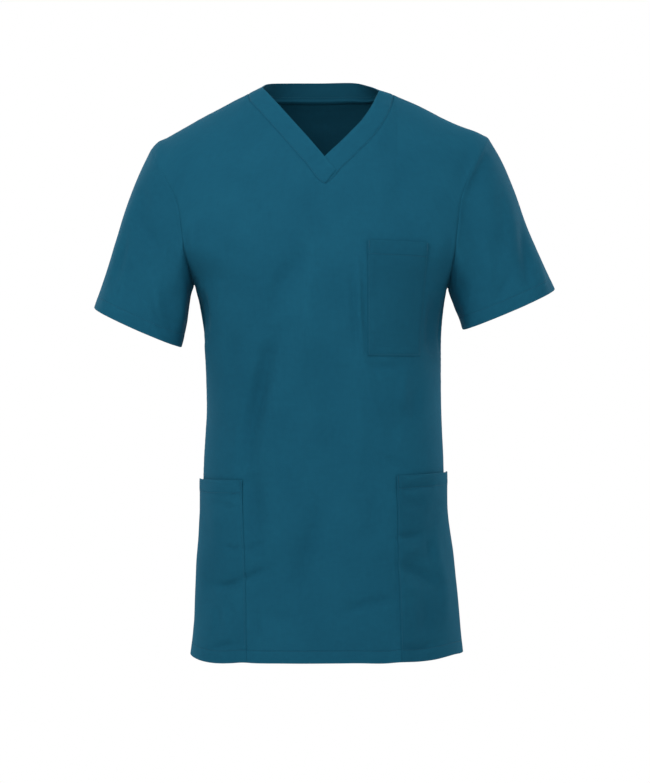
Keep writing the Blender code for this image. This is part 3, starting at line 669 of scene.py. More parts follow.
def stitches(name, lines, material, pitch=3.1, length=2.35, radius=0.21, seed=5, slant=0.06):
    """Lines of lockstitch: each a row of small rounded dashes that dip into the cloth at both ends."""
    rng = np.random.RandomState(seed)
    all_verts, all_faces = [], []
    base = 0
    sides = 5
    turn = np.linspace(0, 2 * math.pi, sides, endpoint=False)
    for points, normal in lines:
        points, normal = np.asarray(points), np.asarray(normal)
        step = np.concatenate([[0], np.cumsum(np.linalg.norm(np.diff(points, axis=0), axis=1))])
        count = int((step[-1] - length) / pitch) + 1
        if count < 1:
            continue
        start = (step[-1] - length - (count - 1) * pitch) / 2 + np.arange(count) * pitch + rng.uniform(-0.12, 0.12, count)
        at = lambda s, data: np.stack([np.interp(s, step, data[:, k]) for k in range(3)], -1)
        n = unit(at(start + length / 2, normal))
        t = unit(at(start + length, points) - at(start, points))
        b = unit(np.cross(n, t))
        tilt = rng.uniform(-slant, slant, count)[:, None]
        rings = []
        for share, rise, size in ((0.0, -0.20, 0.55), (0.2, 0.06, 0.95), (0.5, 0.14, 1.05), (0.8, 0.06, 0.95), (1.0, -0.20, 0.55)):
            c = at(start + length * share, points) + n * rise + b * tilt * (share - 0.5) * length
            ring = (c[:, None] + radius * size * (np.cos(turn)[None, :, None] * b[:, None]
                                                  + np.sin(turn)[None, :, None] * n[:, None]))
            rings.append(ring)
        v = np.stack(rings, 1)                      # stitch, ring, side
        k = v.shape[1]
        idx = base + np.arange(count * k * sides).reshape(count, k, sides)
        nxt = np.roll(idx, -1, axis=2)
        all_faces += np.stack([idx[:, :-1], nxt[:, :-1], nxt[:, 1:], idx[:, 1:]], -1).reshape(-1, 4).tolist()
        all_faces += idx[:, 0, ::-1].tolist() + idx[:, -1].tolist()
        all_verts.append(v.reshape(-1, 3))
        base += count * k * sides
    verts = np.concatenate(all_verts)
    return finish(name, verts, all_faces, None, material)


# ---------------------------------------------------------------------------------------------
# Materials

TEAL = (0.0082, 0.0885, 0.1490)


def wire(mat):
    tree = mat.node_tree
    nodes, link = tree.nodes, tree.links.new

    def put(socket, value):
        if isinstance(value, (int, float)):
            socket.default_value = value
        else:
            link(value, socket)

    def calc(op, a, b=0.0, c=None, clamp=False):
        n = nodes.new("ShaderNodeMath")
        n.operation = op
        n.use_clamp = clamp
        put(n.inputs[0], a)
        put(n.inputs[1], b)
        if c is not None:
            put(n.inputs[2], c)
        return n.outputs[0]

    def noise(vector, scale, detail=2.0, rough=0.5):
        n = nodes.new("ShaderNodeTexNoise")
        n.inputs["Scale"].default_value = scale
        n.inputs["Detail"].default_value = detail
        n.inputs["Roughness"].default_value = rough
        link(vector, n.inputs["Vector"])
        return n.outputs["Fac"]

    def mapping(vector, scale, turn=0.0):
        n = nodes.new("ShaderNodeMapping")
        n.inputs["Scale"].default_value = scale
        n.inputs["Rotation"].default_value = (0, 0, turn)
        link(vector, n.inputs["Vector"])
        return n.outputs["Vector"]

    return nodes, link, calc, noise, mapping


def cloth(name, tone=1.0, lines=(), worn=(), seed=0.0):
    """Poly-cotton in a fine twill. The coordinates run in metres along the cloth, so that the weave keeps its scale.
    lines are stitching lines, as axis and place, along which the colour is darkened as painted shade of their grooves,
    and worn are folded edges where the cloth is rubbed a little lighter."""
    mat = bpy.data.materials.new(name)
    mat.use_nodes = True
    nodes, link, calc, noise, mapping = wire(mat)
    shader = nodes["Principled BSDF"]
    shader.inputs["Specular IOR Level"].default_value = 0.045
    shader.inputs["Sheen Weight"].default_value = 0.07
    shader.inputs["Sheen Roughness"].default_value = 0.45
    shader.inputs["Sheen Tint"].default_value = (0.10, 0.62, 0.95, 1.0)
    uv_node = nodes.new("ShaderNodeUVMap")
    uv_node.uv_map = "cloth"
    uv = uv_node.outputs["UV"]
    moved = nodes.new("ShaderNodeVectorMath")
    moved.operation = "ADD"
    link(uv, moved.inputs[0])
    moved.inputs[1].default_value = (seed, seed * 0.7, 0)
    sep = nodes.new("ShaderNodeSeparateXYZ")
    link(uv, sep.inputs[0])
    u, v = sep.outputs["X"], sep.outputs["Y"]
    here = moved.outputs[0]

    # Twill ribs run up to the right across the warp and the weft.
    ribs = calc("SINE", calc("MULTIPLY", calc("ADD", u, calc("MULTIPLY", v, -1.6)), 2 * math.pi / 0.00074))
    warp = calc("SINE", calc("MULTIPLY", u, 2 * math.pi / 0.00042))
    weft = calc("SINE", calc("MULTIPLY", v, 2 * math.pi / 0.00046))
    weave = calc("ADD", calc("MULTIPLY", ribs, 0.65), calc("MULTIPLY", calc("MULTIPLY", warp, weft), 0.35))
    # Threads that are a little thicker or lighter than their neighbours.
    slub_u = noise(mapping(here, (34, 1500, 1)), 1.0, 2.0)
    slub_v = noise(mapping(here, (1400, 30, 1)), 1.0, 2.0)
    slub = calc("ADD", slub_u, slub_v)
    cloud = noise(here, 15.0, 3.0, 0.55)
    mottle = noise(here, 150.0, 2.0)
    ramp = nodes.new("ShaderNodeValToRGB")
    ramp.color_ramp.elements[0].position = 0.22
    ramp.color_ramp.elements[1].position = 0.80
    low = (0.80, 0.84, 0.86)
    high = (1.24, 1.16, 1.13)
    ramp.color_ramp.elements[0].color = (*(c * tone * k for c, k in zip(TEAL, low)), 1)
    ramp.color_ramp.elements[1].color = (*(c * tone * k for c, k in zip(TEAL, high)), 1)
    patch = noise(mapping(here, (7.0, 4.5, 1)), 1.0, 2.0, 0.6)
    value = calc("ADD", calc("MULTIPLY", cloud, 0.46), calc("MULTIPLY", patch, 0.30))
    value = calc("ADD", value, calc("MULTIPLY", mottle, 0.34))
    value = calc("ADD", value, calc("MULTIPLY", slub, 0.26))
    value = calc("SUBTRACT", value, 0.29)
    value = calc("ADD", value, calc("MULTIPLY", weave, 0.055))
    height = calc("ADD", calc("MULTIPLY", weave, 0.55), calc("MULTIPLY", slub, 1.1))
    # Painted shade and highlight: the fold attribute darkens the colour in crease troughs and lightens it on crease
    # ridges, standing in for the shade and light of the creases.
    crease_shade_paint = nodes.new("ShaderNodeAttribute")
    crease_shade_paint.attribute_name = "fold"
    value = calc("ADD", value, calc("MULTIPLY", crease_shade_paint.outputs["Fac"], 0.09))
    for axis, at, width, depth in lines:
        # Painted shade: the colour is darkened along the needle's line, where its groove shades the cloth, and the bump
        # sinks there.
        d = calc("ABSOLUTE", calc("SUBTRACT", u if axis == "u" else v, at))
        g = calc("SUBTRACT", 1.0, calc("DIVIDE", d, width), clamp=True)
        value = calc("SUBTRACT", value, calc("MULTIPLY", g, depth))
        height = calc("SUBTRACT", height, calc("MULTIPLY", g, 1.5))
    for axis, at, width in worn:
        d = calc("ABSOLUTE", calc("SUBTRACT", u if axis == "u" else v, at))
        g = calc("SUBTRACT", 1.0, calc("DIVIDE", d, width), clamp=True)
        g = calc("MULTIPLY", g, calc("ADD", mottle, 0.35))
        value = calc("ADD", value, calc("MULTIPLY", g, 0.16))
    link(value, ramp.inputs["Fac"])
    link(ramp.outputs["Color"], shader.inputs["Base Color"])
    bump = nodes.new("ShaderNodeBump")
    bump.inputs["Strength"].default_value = 0.42
    bump.inputs["Distance"].default_value = 0.00016
    link(height, bump.inputs["Height"])
    link(bump.outputs["Normal"], shader.inputs["Normal"])
    link(calc("ADD", calc("MULTIPLY", mottle, 0.12), 0.74), shader.inputs["Roughness"])
    return mat


def thread_material():
    mat = bpy.data.materials.new("thread")
    mat.use_nodes = True
    nodes, link, calc, noise, mapping = wire(mat)
    shader = nodes["Principled BSDF"]
    shader.inputs["Specular IOR Level"].default_value = 0.18
    shader.inputs["Sheen Weight"].default_value = 0.06
    shader.inputs["Sheen Tint"].default_value = (0.2, 0.7, 0.95, 1.0)
    coord = nodes.new("ShaderNodeTexCoord").outputs["Object"]
    twist = noise(mapping(coord, (5200, 5200, 2600)), 1.0, 1.0)
    patchy = noise(coord, 90.0, 2.0)
    ramp = nodes.new("ShaderNodeValToRGB")
    ramp.color_ramp.elements[0].position = 0.3
    ramp.color_ramp.elements[1].position = 0.7
    ramp.color_ramp.elements[0].color = (0.0100, 0.0800, 0.1330, 1)
    ramp.color_ramp.elements[1].color = (0.0150, 0.1120, 0.1800, 1)
    link(calc("ADD", calc("MULTIPLY", twist, 0.6), calc("MULTIPLY", patchy, 0.4)), ramp.inputs["Fac"])
    link(ramp.outputs["Color"], shader.inputs["Base Color"])
    bump = nodes.new("ShaderNodeBump")
    bump.inputs["Strength"].default_value = 0.5
    bump.inputs["Distance"].default_value = 0.00008
    link(twist, bump.inputs["Height"])
    link(bump.outputs["Normal"], shader.inputs["Normal"])
    link(calc("ADD", calc("MULTIPLY", patchy, 0.15), 0.50), shader.inputs["Roughness"])
    return mat


# A stitching line for the cloth material: its width, and how much painted groove shade darkens the colour.
def line(axis, at_mm, width=0.9, depth=0.20):
    return axis, at_mm * MM, width * MM, depth


thread = thread_material()

# ---------------------------------------------------------------------------------------------
# Creases. For a panel, x and z in mm; for a sleeve, mm round it from its top over the front, and mm down from the armhole.

CREASES = (
    # piece, three points, width at each end, rise, how much broader one side is
    ("front", -57, -314, -80, -390, -99, -500, 9, 10, -7.4, -0.2),
    ("front", -90, -482, -86, -540, -85, -606, 12, 12, -6.2, -0.1),
    ("front", -34, -330, -34, -364, -42, -404, 12, 13, 1.8, 0.2),
    ("front", -10, -200, -16, -262, -20, -336, 10, 11, 3.2, 0.1),
    ("front", -22, -206, -34, -236, -58, -262, 15, 14, -4.4, -0.2),
    ("front", 28, -220, 26, -268, 32, -322, 17, 17, -2.0, -0.2),
    ("front", 45.5, -222, 47, -285, 51.5, -348, 2.8, 3.2, 3.8, 0.0),
    ("front", 39, -238, 40, -290, 44, -344, 3.0, 3.4, -2.2, 0.0),
    ("front", -2, -352, 12, -420, 18, -500, 17, 20, -2.8, -0.35),
    ("front", 46, -366, 50, -430, 42, -510, 13, 16, 2.4, 0.2),
    ("front", -157, -256, -153, -284, -149, -320, 7, 7, -7.5, 0.0),
    ("front", -131, -250, -130, -276, -131, -302, 4, 5, 1.1, 0.0),
    ("front", 149, -256, 146, -302, 143, -352, 12, 13, -10.0, 0.0),
    ("front", 60, -350, 74, -360, 100, -356, 7, 7, -2.8, 0.0),
    ("front", 105, -364, 102, -388, 98, -412, 8, 8, 2.6, 0.0),
    ("front", 97, -430, 98, -450, 96, -468, 9, 8, 2.0, 0.0),
    ("front", 123, -382, 117, -408, 114, -434, 7, 8, -2.0, 0.0),
    ("front", 70, -466, 92, -478, 112, -490, 6, 7, -1.5, 0.1),
    ("front", -152, -400, -138, -424, -118, -440, 9, 11, -1.3, 0.0),
    ("front", -134, -634, -116, -632, -97, -623, 5, 5, -3.6, 0.0),
    ("front", -99, -624, -86, -619, -70, -610, 5, 5, -3.2, 0.0),
    ("front", -124, -582, -112, -587, -99, -585, 4, 4.5, -2.2, 0.0),
    ("front", -97, -590, -86, -584, -74, -574, 4.5, 5, -2.0, 0.0),
    ("front", -138, -713, -122, -707, -100, -704, 4.5, 5, -2.8, 0.0),
    ("front", -158, -520, -146, -556, -148, -604, 7, 9, -1.5, 0.0),
    ("front", 92, -568, 110, -571, 130, -567, 6, 6, -3.2, 0.0),
    ("front", 96, -606, 120, -615, 149, -634, 8, 9, -5.2, 0.1),
    ("front", 99, -706, 120, -712, 147, -704, 4.5, 5, -3.2, 0.0),
    ("front", 62, -604, 78, -600, 95, -606, 5, 5, -1.1, 0.0),
    ("front", 150, -520, 140, -560, 146, -610, 8, 9, -1.5, 0.0),
    ("front", 0, -528, -17, -587, -33, -644, 13, 14, -5.2, 0.1),
    ("front", 22, -666, 58, -656, 92, -648, 9, 8, -3.6, 0.0),
    ("front", -82, -664, -52, -672, -22, -664, 8, 9, -1.8, 0.0),
    ("front", -184, -174, -176, -192, -170, -214, 4, 4, -1.5, 0.2),
    ("front", 193, -70, 184, -98, 175, -136, 10, 9, -2.4, 0.0),
    ("front", 166, -190, 158, -220, 154, -246, 9, 9, -1.4, 0.0),
    ("front", -146, -120, -112, -150, -76, -166, 14, 16, 2.0, 0.0),
    ("front", -96, -176, -74, -196, -44, -206, 12, 13, -1.6, 0.0),
    ("front", 6, -150, 16, -176, 34, -196, 12, 12, 1.5, 0.0),
    ("front", 96, -150, 112, -174, 120, -200, 10, 11, -1.6, 0.0),
    ("front", -120, -300, -112, -340, -116, -388, 11, 13, -1.9, -0.2),
    ("front", 60, -500, 66, -540, 62, -592, 11, 12, -1.8, -0.2),
    ("front", -60, -500, -54, -556, -60, -600, 12, 13, 1.8, 0.0),
    ("front", -140, -196, -112, -214, -82, -220, 12, 14, -2.0, 0.0),
    ("front", 112, -100, 94, -140, 84, -186, 13, 14, -1.9, 0.0),
    ("front", -50, -240, -56, -275, -61, -308, 13, 12, -3.0, -0.2),
    ("front", 55, -352, 61, -388, 74, -438, 5, 7, 1.8, 0.0),
    ("front", -126, -523, -115, -527, -103, -529, 5, 5, 2.0, 0.0),
    ("front", -137, -656, -129, -678, -135, -696, 6, 6, -2.0, 0.0),
    ("front", -103.5, -497, -104, -506, -103.5, -516, 3, 3, -1.4, 0.0),
    ("front", 132, -576, 136, -588, 134, -600, 4.5, 4.5, -2.0, 0.0),
    ("front", 128, -648, 131, -674, 130, -698, 9, 9, -2.8, 0.0),
    ("front", 144, -566, 147, -590, 148, -618, 6, 6, 2.4, 0.0),
    ("front", 96, -510, 118, -509, 144, -507, 6, 6, -3.6, 0.0),
    ("front", 95, -548, 96.5, -605, 98.5, -690, 2.6, 2.6, -1.8, 0.0),
    ("front", 150, -596, 155, -640, 158, -692, 8, 9, 3.0, 0.0),
    ("front", -151, -590, -155, -640, -159, -692, 8, 9, 2.4, 0.0),
    ("front", -86, -658, -82, -680, -88, -702, 6, 7, -2.6, 0.0),
    ("front", -118, -652, -113, -668, -119, -690, 6, 6, -2.0, 0.0),
    ("front", 34, -678, 50, -662, 70, -654, 5, 5, 1.2, 0.0),
    ("front", 102, -582, 112, -588, 124, -586, 5, 5, 2.0, 0.0),
    ("front", 100, -626, 112, -636, 128, -638, 5, 5, 1.6, 0.0),
    ("front", 100, -522, 116, -530, 132, -526, 9, 10, -2.0, 0.0),
    ("back", -158, -262, -150, -300, -144, -352, 9, 12, -3.4, 0.0),
    ("back", 154, -262, 146, -304, 138, -346, 9, 12, -3.0, 0.1),
    ("back", 58, -246, 76, -330, 86, -420, 8, 14, -3.4, -0.4),
    ("back", -62, -262, -84, -340, -88, -430, 9, 13, -3.0, 0.4),
    ("back", -20, -372, -2, -388, 28, -380, 10, 12, -1.9, 0.0),
    ("back", -52, -404, -14, -424, 34, -410, 9, 11, -2.3, 0.1),
    ("back", -120, -398, -86, -414, -56, -408, 8, 9, -1.8, 0.0),
    ("back", 58, -396, 92, -420, 126, -412, 8, 9, -2.0, 0.0),
    ("back", 30, -352, 52, -362, 74, -354, 7, 9, -1.2, 0.0),
    ("back", 44, -440, 60, -520, 56, -610, 10, 16, -2.6, 0.3),
    ("back", -48, -450, -70, -540, -74, -640, 10, 16, -2.6, -0.3),
    ("back", -128, -470, -118, -540, -122, -612, 9, 13, -2.0, 0.0),
    ("back", 134, -480, 124, -560, 130, -640, 9, 14, -2.1, 0.2),
    ("back", 4, -560, 8, -620, -4, -690, 13, 16, 1.8, 0.0),
    ("back", -96, -640, -84, -680, -88, -716, 9, 10, 1.3, 0.0),
    ("back", -150, -160, -120, -196, -78, -214, 11, 14, -2.0, 0.0),
    ("back", 146, -166, 118, -200, 70, -222, 11, 14, -2.0, 0.1),
    ("back", -40, -40, -30, -90, -34, -150, 12, 14, -1.3, 0.0),
    ("back", 36, -44, 30, -96, 38, -160, 12, 14, -1.3, 0.0),
    ("back", -22, -22, 0, -30, 22, -22, 6, 6, 0.9, 0.0),
    ("right", 50, 26, 52, 54, 62, 80, 14, 14, -3.6, 0.0),
    ("right", 150, 24, 132, 66, 112, 84, 10, 13, -1.6, 0.1),
    ("right", 150, 12, 149, 46, 151, 84, 10, 10, 3.4, 0.0),
    ("right", 62, 68, 78, 62, 98, 44, 9, 9, -2.4, 0.0),
    ("right", 47, 92, 50, 130, 46, 168, 7, 8, -2.8, 0.0),
    ("right", 106, 76, 112, 92, 120, 106, 9, 9, 2.2, 0.0),
    ("right", 108, 112, 122, 109, 136, 104, 5, 6, -2.4, 0.0),
    ("right", 130, 82, 141, 100, 147, 118, 11, 11, -2.2, 0.0),
    ("right", 30, 40, 34, 96, 30, 156, 12, 13, 1.3, 0.0),
    ("right", 72, 104, 74, 134, 76, 156, 9, 9, -1.4, 0.0),
    ("right", 206, 12, 232, 44, 252, 92, 8, 14, -3.0, 0.1),
    ("right", 300, 30, 292, 84, 296, 140, 12, 15, -2.2, 0.0),
    ("right", 340, 20, 336, 70, 330, 120, 12, 14, 1.4, 0.0),
    ("right", 268, 70, 262, 100, 266, 124, 8, 9, -1.4, 0.0),
    ("left", 150, 14, 142, 34, 131, 58, 9, 12, -4.0, 0.0),
    ("left", 152, 66, 150, 96, 150, 130, 9, 9, 2.6, 0.0),
    ("left", 32, 6, 54, 8, 80, 12, 14, 13, -3.2, 0.0),
    ("left", 172, 10, 164, 36, 158, 60, 8, 9, -2.4, 0.0),
    ("left", 32, 104, 50, 138, 66, 174, 13, 13, -5.0, 0.0),
    ("left", 22, 150, 36, 178, 46, 200, 8, 8, 2.0, 0.0),
    ("left", 44, 34, 60, 74, 88, 100, 12, 14, -1.9, 0.0),
    ("left", 88, 40, 96, 70, 110, 92, 9, 10, 1.4, 0.0),
    ("left", 108, 104, 94, 116, 74, 126, 6, 7, -1.6, 0.0),
    ("left", 198, 10, 224, 40, 240, 84, 8, 13, -3.0, 0.0),
    ("left", 282, 24, 290, 74, 284, 130, 12, 15, -2.2, 0.0),
    ("left", 336, 40, 342, 90, 338, 150, 12, 14, -1.6, 0.0),
    ("left", 310, 90, 300, 130, 304, 166, 9, 11, 1.3, 0.0),
)


def uneven(x, z, seed):
    """Long soft unevenness of cloth that hangs, drapes that run down it, and smaller dimples."""
    low = ease((-200.0 - z) / 200.0)
    return (0.62 * soft_noise(x / 20.0, z / 34.0, seed) + 0.42 * low * soft_noise(x / 11.0, z / 60.0, seed + 20)
            + 0.20 * soft_noise(x / 8.0, z / 12.0, seed + 50, 14))


def seam_groove(d, seed, along, depth=0.55, width=1.7, gather=0.20, reach=9.0):
    """The cloth dips into its seam, with small gathers beside it."""
    return -depth * np.exp(-(d / width) ** 2) + gather * ripple(along, seed, 13.0) * np.exp(-((d - 2.5) / reach) ** 2) * ease(d / 2.0)


def stitch_groove(d, seed, along, depth=0.28, width=1.0, gather=0.13, reach=5.0):
    return -depth * np.exp(-(d / width) ** 2) + gather * ripple(along, seed, 9.0) * np.exp(-(d / reach) ** 2)


# ---------------------------------------------------------------------------------------------
# Front and back

front_base, under_row, yoke_row = fine_panel("front")
back_base, _, _ = fine_panel("back")
front_base_n = surface_normals(front_base)
back_base_n = -surface_normals(back_base)

neck_right = COLUMN_CELLS[0] * FINE
neck_tip = neck_right + COLUMN_CELLS[1] * FINE
neck_left = neck_tip + (COLUMN_CELLS[2] + COLUMN_CELLS[3]) * FINE
back_right = BACK_SHOULDER_CELLS * FINE
back_left = back_right + BACK_NECK_CELLS * FINE
mouth_row = LEVELS[0][3] * ROW_FINE
foot_row = (LEVELS[0][3] + LEVELS[1][3]) * ROW_FINE
top_row = front_base.shape[0] - 1
back_top = back_base.shape[0] - 1


def body_lift(side, grid):
    """Creases and unevenness of a panel, none at its seams with its neighbours, and the painted crease shade for its
    colour.
    """
    x, z = grid[..., 0], grid[..., 2]
    u, v = lengths(grid)
    d = np.minimum(u, u[:, -1:] - u)
    t = v[-1:] - v
    fade = ease(d / 16.0) * ease(t / 16.0)
    folds = ease(d / 7.0) * ease(t / 9.0) * creases(CREASES, side, x, z)
    return fade * uneven(x, z, 3 if side == "front" else 8) + folds, painted_crease_shade(folds)


# Painted shade and highlight from the creases' heights: darker colour in troughs, lighter on ridges.
def painted_crease_shade(folds):
    return np.clip(folds / 4.0, -1.7, 0.7)


# The creased surfaces, from which the pockets are made too.
front_lift, front_crease_shade = body_lift("front", front_base)
back_lift, back_crease_shade = body_lift("back", back_base)
front_soft = front_base + front_base_n * front_lift[..., None]
back_soft = back_base + back_base_n * back_lift[..., None]
front_n = surface_normals(front_soft)
back_n = -surface_normals(back_soft)

HEM_PLACES = (0.10, 0.30, 0.55, 1.5, 2.5, 3.4, 3.8, 4.15, 4.35, 4.5, 4.62, 4.74, 4.86, 4.98, 5.12, 5.3, 5.6)


def panel_piece(name, node, soft, normal, fold, outward, material, seed, seams):
    last_r, last_c = soft.shape[0] - 1, soft.shape[1] - 1
    rows = places(last_r, list(HEM_PLACES) + [last_r - 0.2, last_r - 0.5])
    cols = places(last_c, [0.12, 0.3, 0.55, last_c - 0.12, last_c - 0.3, last_c - 0.55])
    grid = resample(soft, rows, cols)
    n = unit(resample(normal, rows, cols))
    u, v = lengths(grid)
    side_d = np.minimum(u, u[:, -1:] - u)
    top_d = v[-1:] - v
    # The armhole's seam lies flat over the shoulder and sinks towards the underarm.
    sunk = 0.30 + 0.52 * ease((-122.0 - grid[..., 2]) / 66.0)
    lift = seam_groove(side_d, seed, v + 0 * u, depth=sunk)
    lift = lift + seam_groove(top_d, seed + 1, u, depth=0.30)
    hem = np.abs(v - BODY_HEM)
    lift = lift + stitch_groove(hem, seed + 2, u) * ease(side_d / 4.0)
    # Between its stitching and its edge the turned hem is a little fuller, and it ropes.
    inside = ease(v / 2.0) * ease((BODY_HEM - v) / 3.0)
    lift = lift + inside * (0.18 + 0.16 * ripple(u + 0.55 * v, seed + 3, 15.0))
    grid = grid + n * lift[..., None]
    uv = np.stack([u - u[:, len(cols) // 2][:, None], v], -1) * MM
    thick = CLOTH_THICK + (HEM_THICK - CLOTH_THICK) * (1 - ease((v - BODY_HEM + 0.6) / 1.4))
    for edge in seams:
        pull_in(grid, edge, 0.10)
    obj = shell(name, grid, n, thick, uv, material, outward, node=node, inside=mat_wrong_side_shade, fold=resample(fold, rows, cols))
    return obj, grid, n, uv, rows, cols


# The wrong side is the same cloth darkened to 0.55, painted shade for the garment's inside.
mat_wrong_side_shade = cloth("cloth_wrong_side", 0.55, seed=7.7)
mat_front = cloth("cloth_front", 1.0, lines=(line("v", BODY_HEM),), worn=(("v", 0.0, 0.0022),), seed=0.0)
mat_back = cloth("cloth_back", 0.99, lines=(line("v", BODY_HEM),), worn=(("v", 0.0, 0.0022),), seed=3.1)

front_obj, front_grid, front_grid_n, front_uv, front_rows, front_cols = panel_piece(
    "front_cloth", "front_panel", front_soft, front_n, front_crease_shade, 1, mat_front, 11, ("first_column", "last_column", "last_row"))
back_obj, back_grid, back_grid_n, back_uv, back_rows, back_cols = panel_piece(
    "back_cloth", "back_panel", back_soft, back_n, back_crease_shade, -1, mat_back, 31, ("first_column", "last_column", "last_row"))

# ---------------------------------------------------------------------------------------------
# Sleeves

SLEEVE_FINE = 52


def sleeve_rings(table, hand, front_seam, back_seam):
    sign = -1 if hand == "right" else 1
    seam = np.concatenate([front_seam[::-1], back_seam[1:-1]])
    low, high = seam[:, 2].min(), seam[:, 2].max()
    phi = np.arccos(np.clip((seam[:, 2] - (low + high) / 2) / ((high - low) / 2), -1, 1))
    phi[len(front_seam):] = 2 * math.pi - phi[len(front_seam):]
    c, s = np.cos(phi), np.sin(phi)
    square = np.where(c > 0, SLEEVE_SQUARE_OVER, SLEEVE_SQUARE_UNDER)
    size = (np.abs(c) ** square + np.abs(s) ** square) ** (1 / square)
    cc, ss = c / size, s / size

    def ring(t):
        over_point = np.array([table.at("over_x", t), 0.0, table.at("over_z", t)])
        under_point = np.array([table.at("under_x", t), 0.0, table.at("under_z", t)])
        depth = np.where(s > 0, table.at("front", t), table.at("back", t))
        p = (over_point + under_point) / 2 + cc[:, None] * (over_point - under_point) / 2
        p = p + (ss * depth)[:, None] * np.array([0, -1.0, 0])
        p[:, 2] -= float(table.at("droop", t)) * np.abs(s)
        return p

    start = ring(0.0)
    steps = np.concatenate([[0, 0.004, 0.011], np.linspace(0, 1, SLEEVE_FINE + 1)[1:]])
    tight = (1 - np.cos(phi)) / 2
    rings = []
    for t in steps:
        keep = (1 - min(t / 0.62, 1)) ** 2 * (1 + 2 * min(t / 0.62, 1))
        p = ring(t) + (seam - start) * keep
        p[:, 0] += sign * (0.10 + 0.5 * tight) * math.exp(-t / 0.05)
        rings.append(p)
    return np.array(rings), phi


def sleeve_piece(hand, table, front_seam, back_seam, seed):
    rings, phi = sleeve_rings(table, hand, front_seam, back_seam)
    _, v = lengths(rings)
    total = v[-1]
    # Extra rings at the cuff's stitching line and at its folded edge.
    count = rings.shape[0] - 1
    pitch = float(np.median(total)) / SLEEVE_FINE
    cuff = [count - d / pitch for d in (0.35, 0.9, 14.4, 15.0, 15.4, 15.8, 16.2, 16.6, 17.0, 17.6, 18.6)]
    rows = places(count, cuff)
    wide = np.concatenate([rings, rings[:, :1]], axis=1)
    cols = np.arange(rings.shape[1], dtype=float)
    grid = resample(wide, rows, cols)
    outward = -1 if hand == "right" else 1
    n = surface_normals(grid, closed=True) * outward
    _, v = lengths(grid)
    down = v[-1][None, :] - v
    turn = phi[None, :] * 60.0 + 0 * v
    top_fade = np.sin(np.clip(phi, 0, 2 * math.pi) / 2)[None, :]
    free = ease(v / 12.0) * ease(top_fade / 0.3)
    lift = free * (0.60 * soft_noise(turn / 18.0, v / 28.0, seed) + 0.18 * soft_noise(turn / 8.0, v / 9.0, seed + 7, 14))
    folds = ease(v / 8.0) * creases(CREASES, hand, turn, v) * (0.45 + 0.55 * ease(down / 22.0))
    lift = lift + folds
    grid = grid + n * lift[..., None]
    n = surface_normals(grid, closed=True) * outward
    _, v = lengths(grid)
    down = v[-1][None, :] - v
    edge = turn
    sunk = 0.30 + 0.52 * ease((-122.0 - grid[:1, :, 2]) / 66.0)
    lift = seam_groove(v, seed + 1, edge, depth=sunk)
    lift = lift + stitch_groove(np.abs(down - CUFF_HEM), seed + 2, edge, depth=0.18)
    inside = ease(down / 2.0) * ease((CUFF_HEM - down) / 3.0)
    lift = lift + inside * (0.18 + 0.14 * ripple(edge + 0.55 * down, seed + 3, 14.0))
    grid = grid + n * lift[..., None]
    # The weave runs round the ring; the coordinate is cut at the underarm seam, where the edge of the cloth is.
    round_way = np.where(phi > math.pi, phi - 2 * math.pi, phi)[None, :] * 60.0 + 0 * v
    uv = np.stack([round_way, down], -1) * MM
    thick = CLOTH_THICK + (HEM_THICK - CLOTH_THICK) * (1 - ease((down - CUFF_HEM + 0.6) / 1.4))
    material = cloth("cloth_sleeve_" + hand, 1.0, lines=(line("v", CUFF_HEM, 0.9, 0.10),), worn=(("v", 0.0, 0.0022),), seed=seed * 0.37)
    # The sleeve's colour takes painted crease shade and highlight from its creases.
    obj = shell("sleeve_cloth_" + hand, grid, n, thick, uv, material, outward, closed=True, node="sleeve_" + hand,
                inside=mat_wrong_side_shade, fold=painted_crease_shade(folds))
    return obj, grid, n, uv, down


sleeve_r = sleeve_piece("right", SLEEVE_RIGHT, front_base[under_row:, 0], back_base[under_row:, 0], 21)
sleeve_l = sleeve_piece("left", SLEEVE_LEFT, front_base[under_row:, -1], back_base[under_row:, -1], 24)

# ---------------------------------------------------------------------------------------------
# Neckband: folded strips that stand on the neck's seam

BAND_LONG = 96
BAND_PLACES = np.array([0, 0.4, 0.9, 1.3, 1.6, 1.9, 2.3, 3.0, 4.5, 7, 10, 13, 16, 18.5, 20.5, 22, 23, 23.6, 24.0]) / 24.0


def along_line(points, count):
    step = np.concatenate([[0], np.cumsum(np.linalg.norm(np.diff(points, axis=0), axis=1))])
    t = np.linspace(0, step[-1], count)
    return np.stack([np.interp(t, step, points[:, k]) for k in range(3)], -1)


def band_piece(name, node, seam, edge, lift, thick, material, seed, cut=(), crossed=None):
    across = BAND_PLACES
    grid = seam[None] + (edge - seam)[None] * across[:, None, None]
    n = surface_normals(grid)
    outward = 1
    middle = grid[len(across) // 2, grid.shape[1] // 2]
    if np.dot(n[len(across) // 2, grid.shape[1] // 2], middle - np.array([0, 8.0, middle[2]])) < 0:
        n, outward = -n, -1
    u, v = lengths(grid)
    width = v[-1:]
    full = 0.50 * (1 - np.abs(2 * (v / width) - 1) ** 5) - 0.25
    shape = full + seam_groove(v, seed, u, depth=0.45, gather=0.12) + stitch_groove(np.abs(v - 1.7), seed + 1, u, depth=0.18, gather=0.08)
    shape = shape + 0.10 * soft_noise(u / 12.0, v / 12.0, seed + 2)
    if crossed is not None:
        # The other band's fold lies across this one and presses a line into it.
        a, b = crossed
        way = unit(b - a)
        off = (grid[..., 0] - a[0]) * way[2] - (grid[..., 2] - a[2]) * way[0]
        shape = shape - 0.50 * np.exp(-(off / np.where(off < 0, 6.0, 1.0)) ** 2)
    for edge_name in cut:
        pull_in(grid, edge_name, 0.15)
    pull_in(grid, "first_row", 0.12)
    grid = grid + n * (shape + lift[None, :])[..., None]
    uv = np.stack([u, v], -1) * MM
    obj = shell(name, grid, n, thick, uv, material, outward, node=node, roll=0.36, inside=mat_band_wrong_side_shade)
    return obj, grid, n, uv, outward


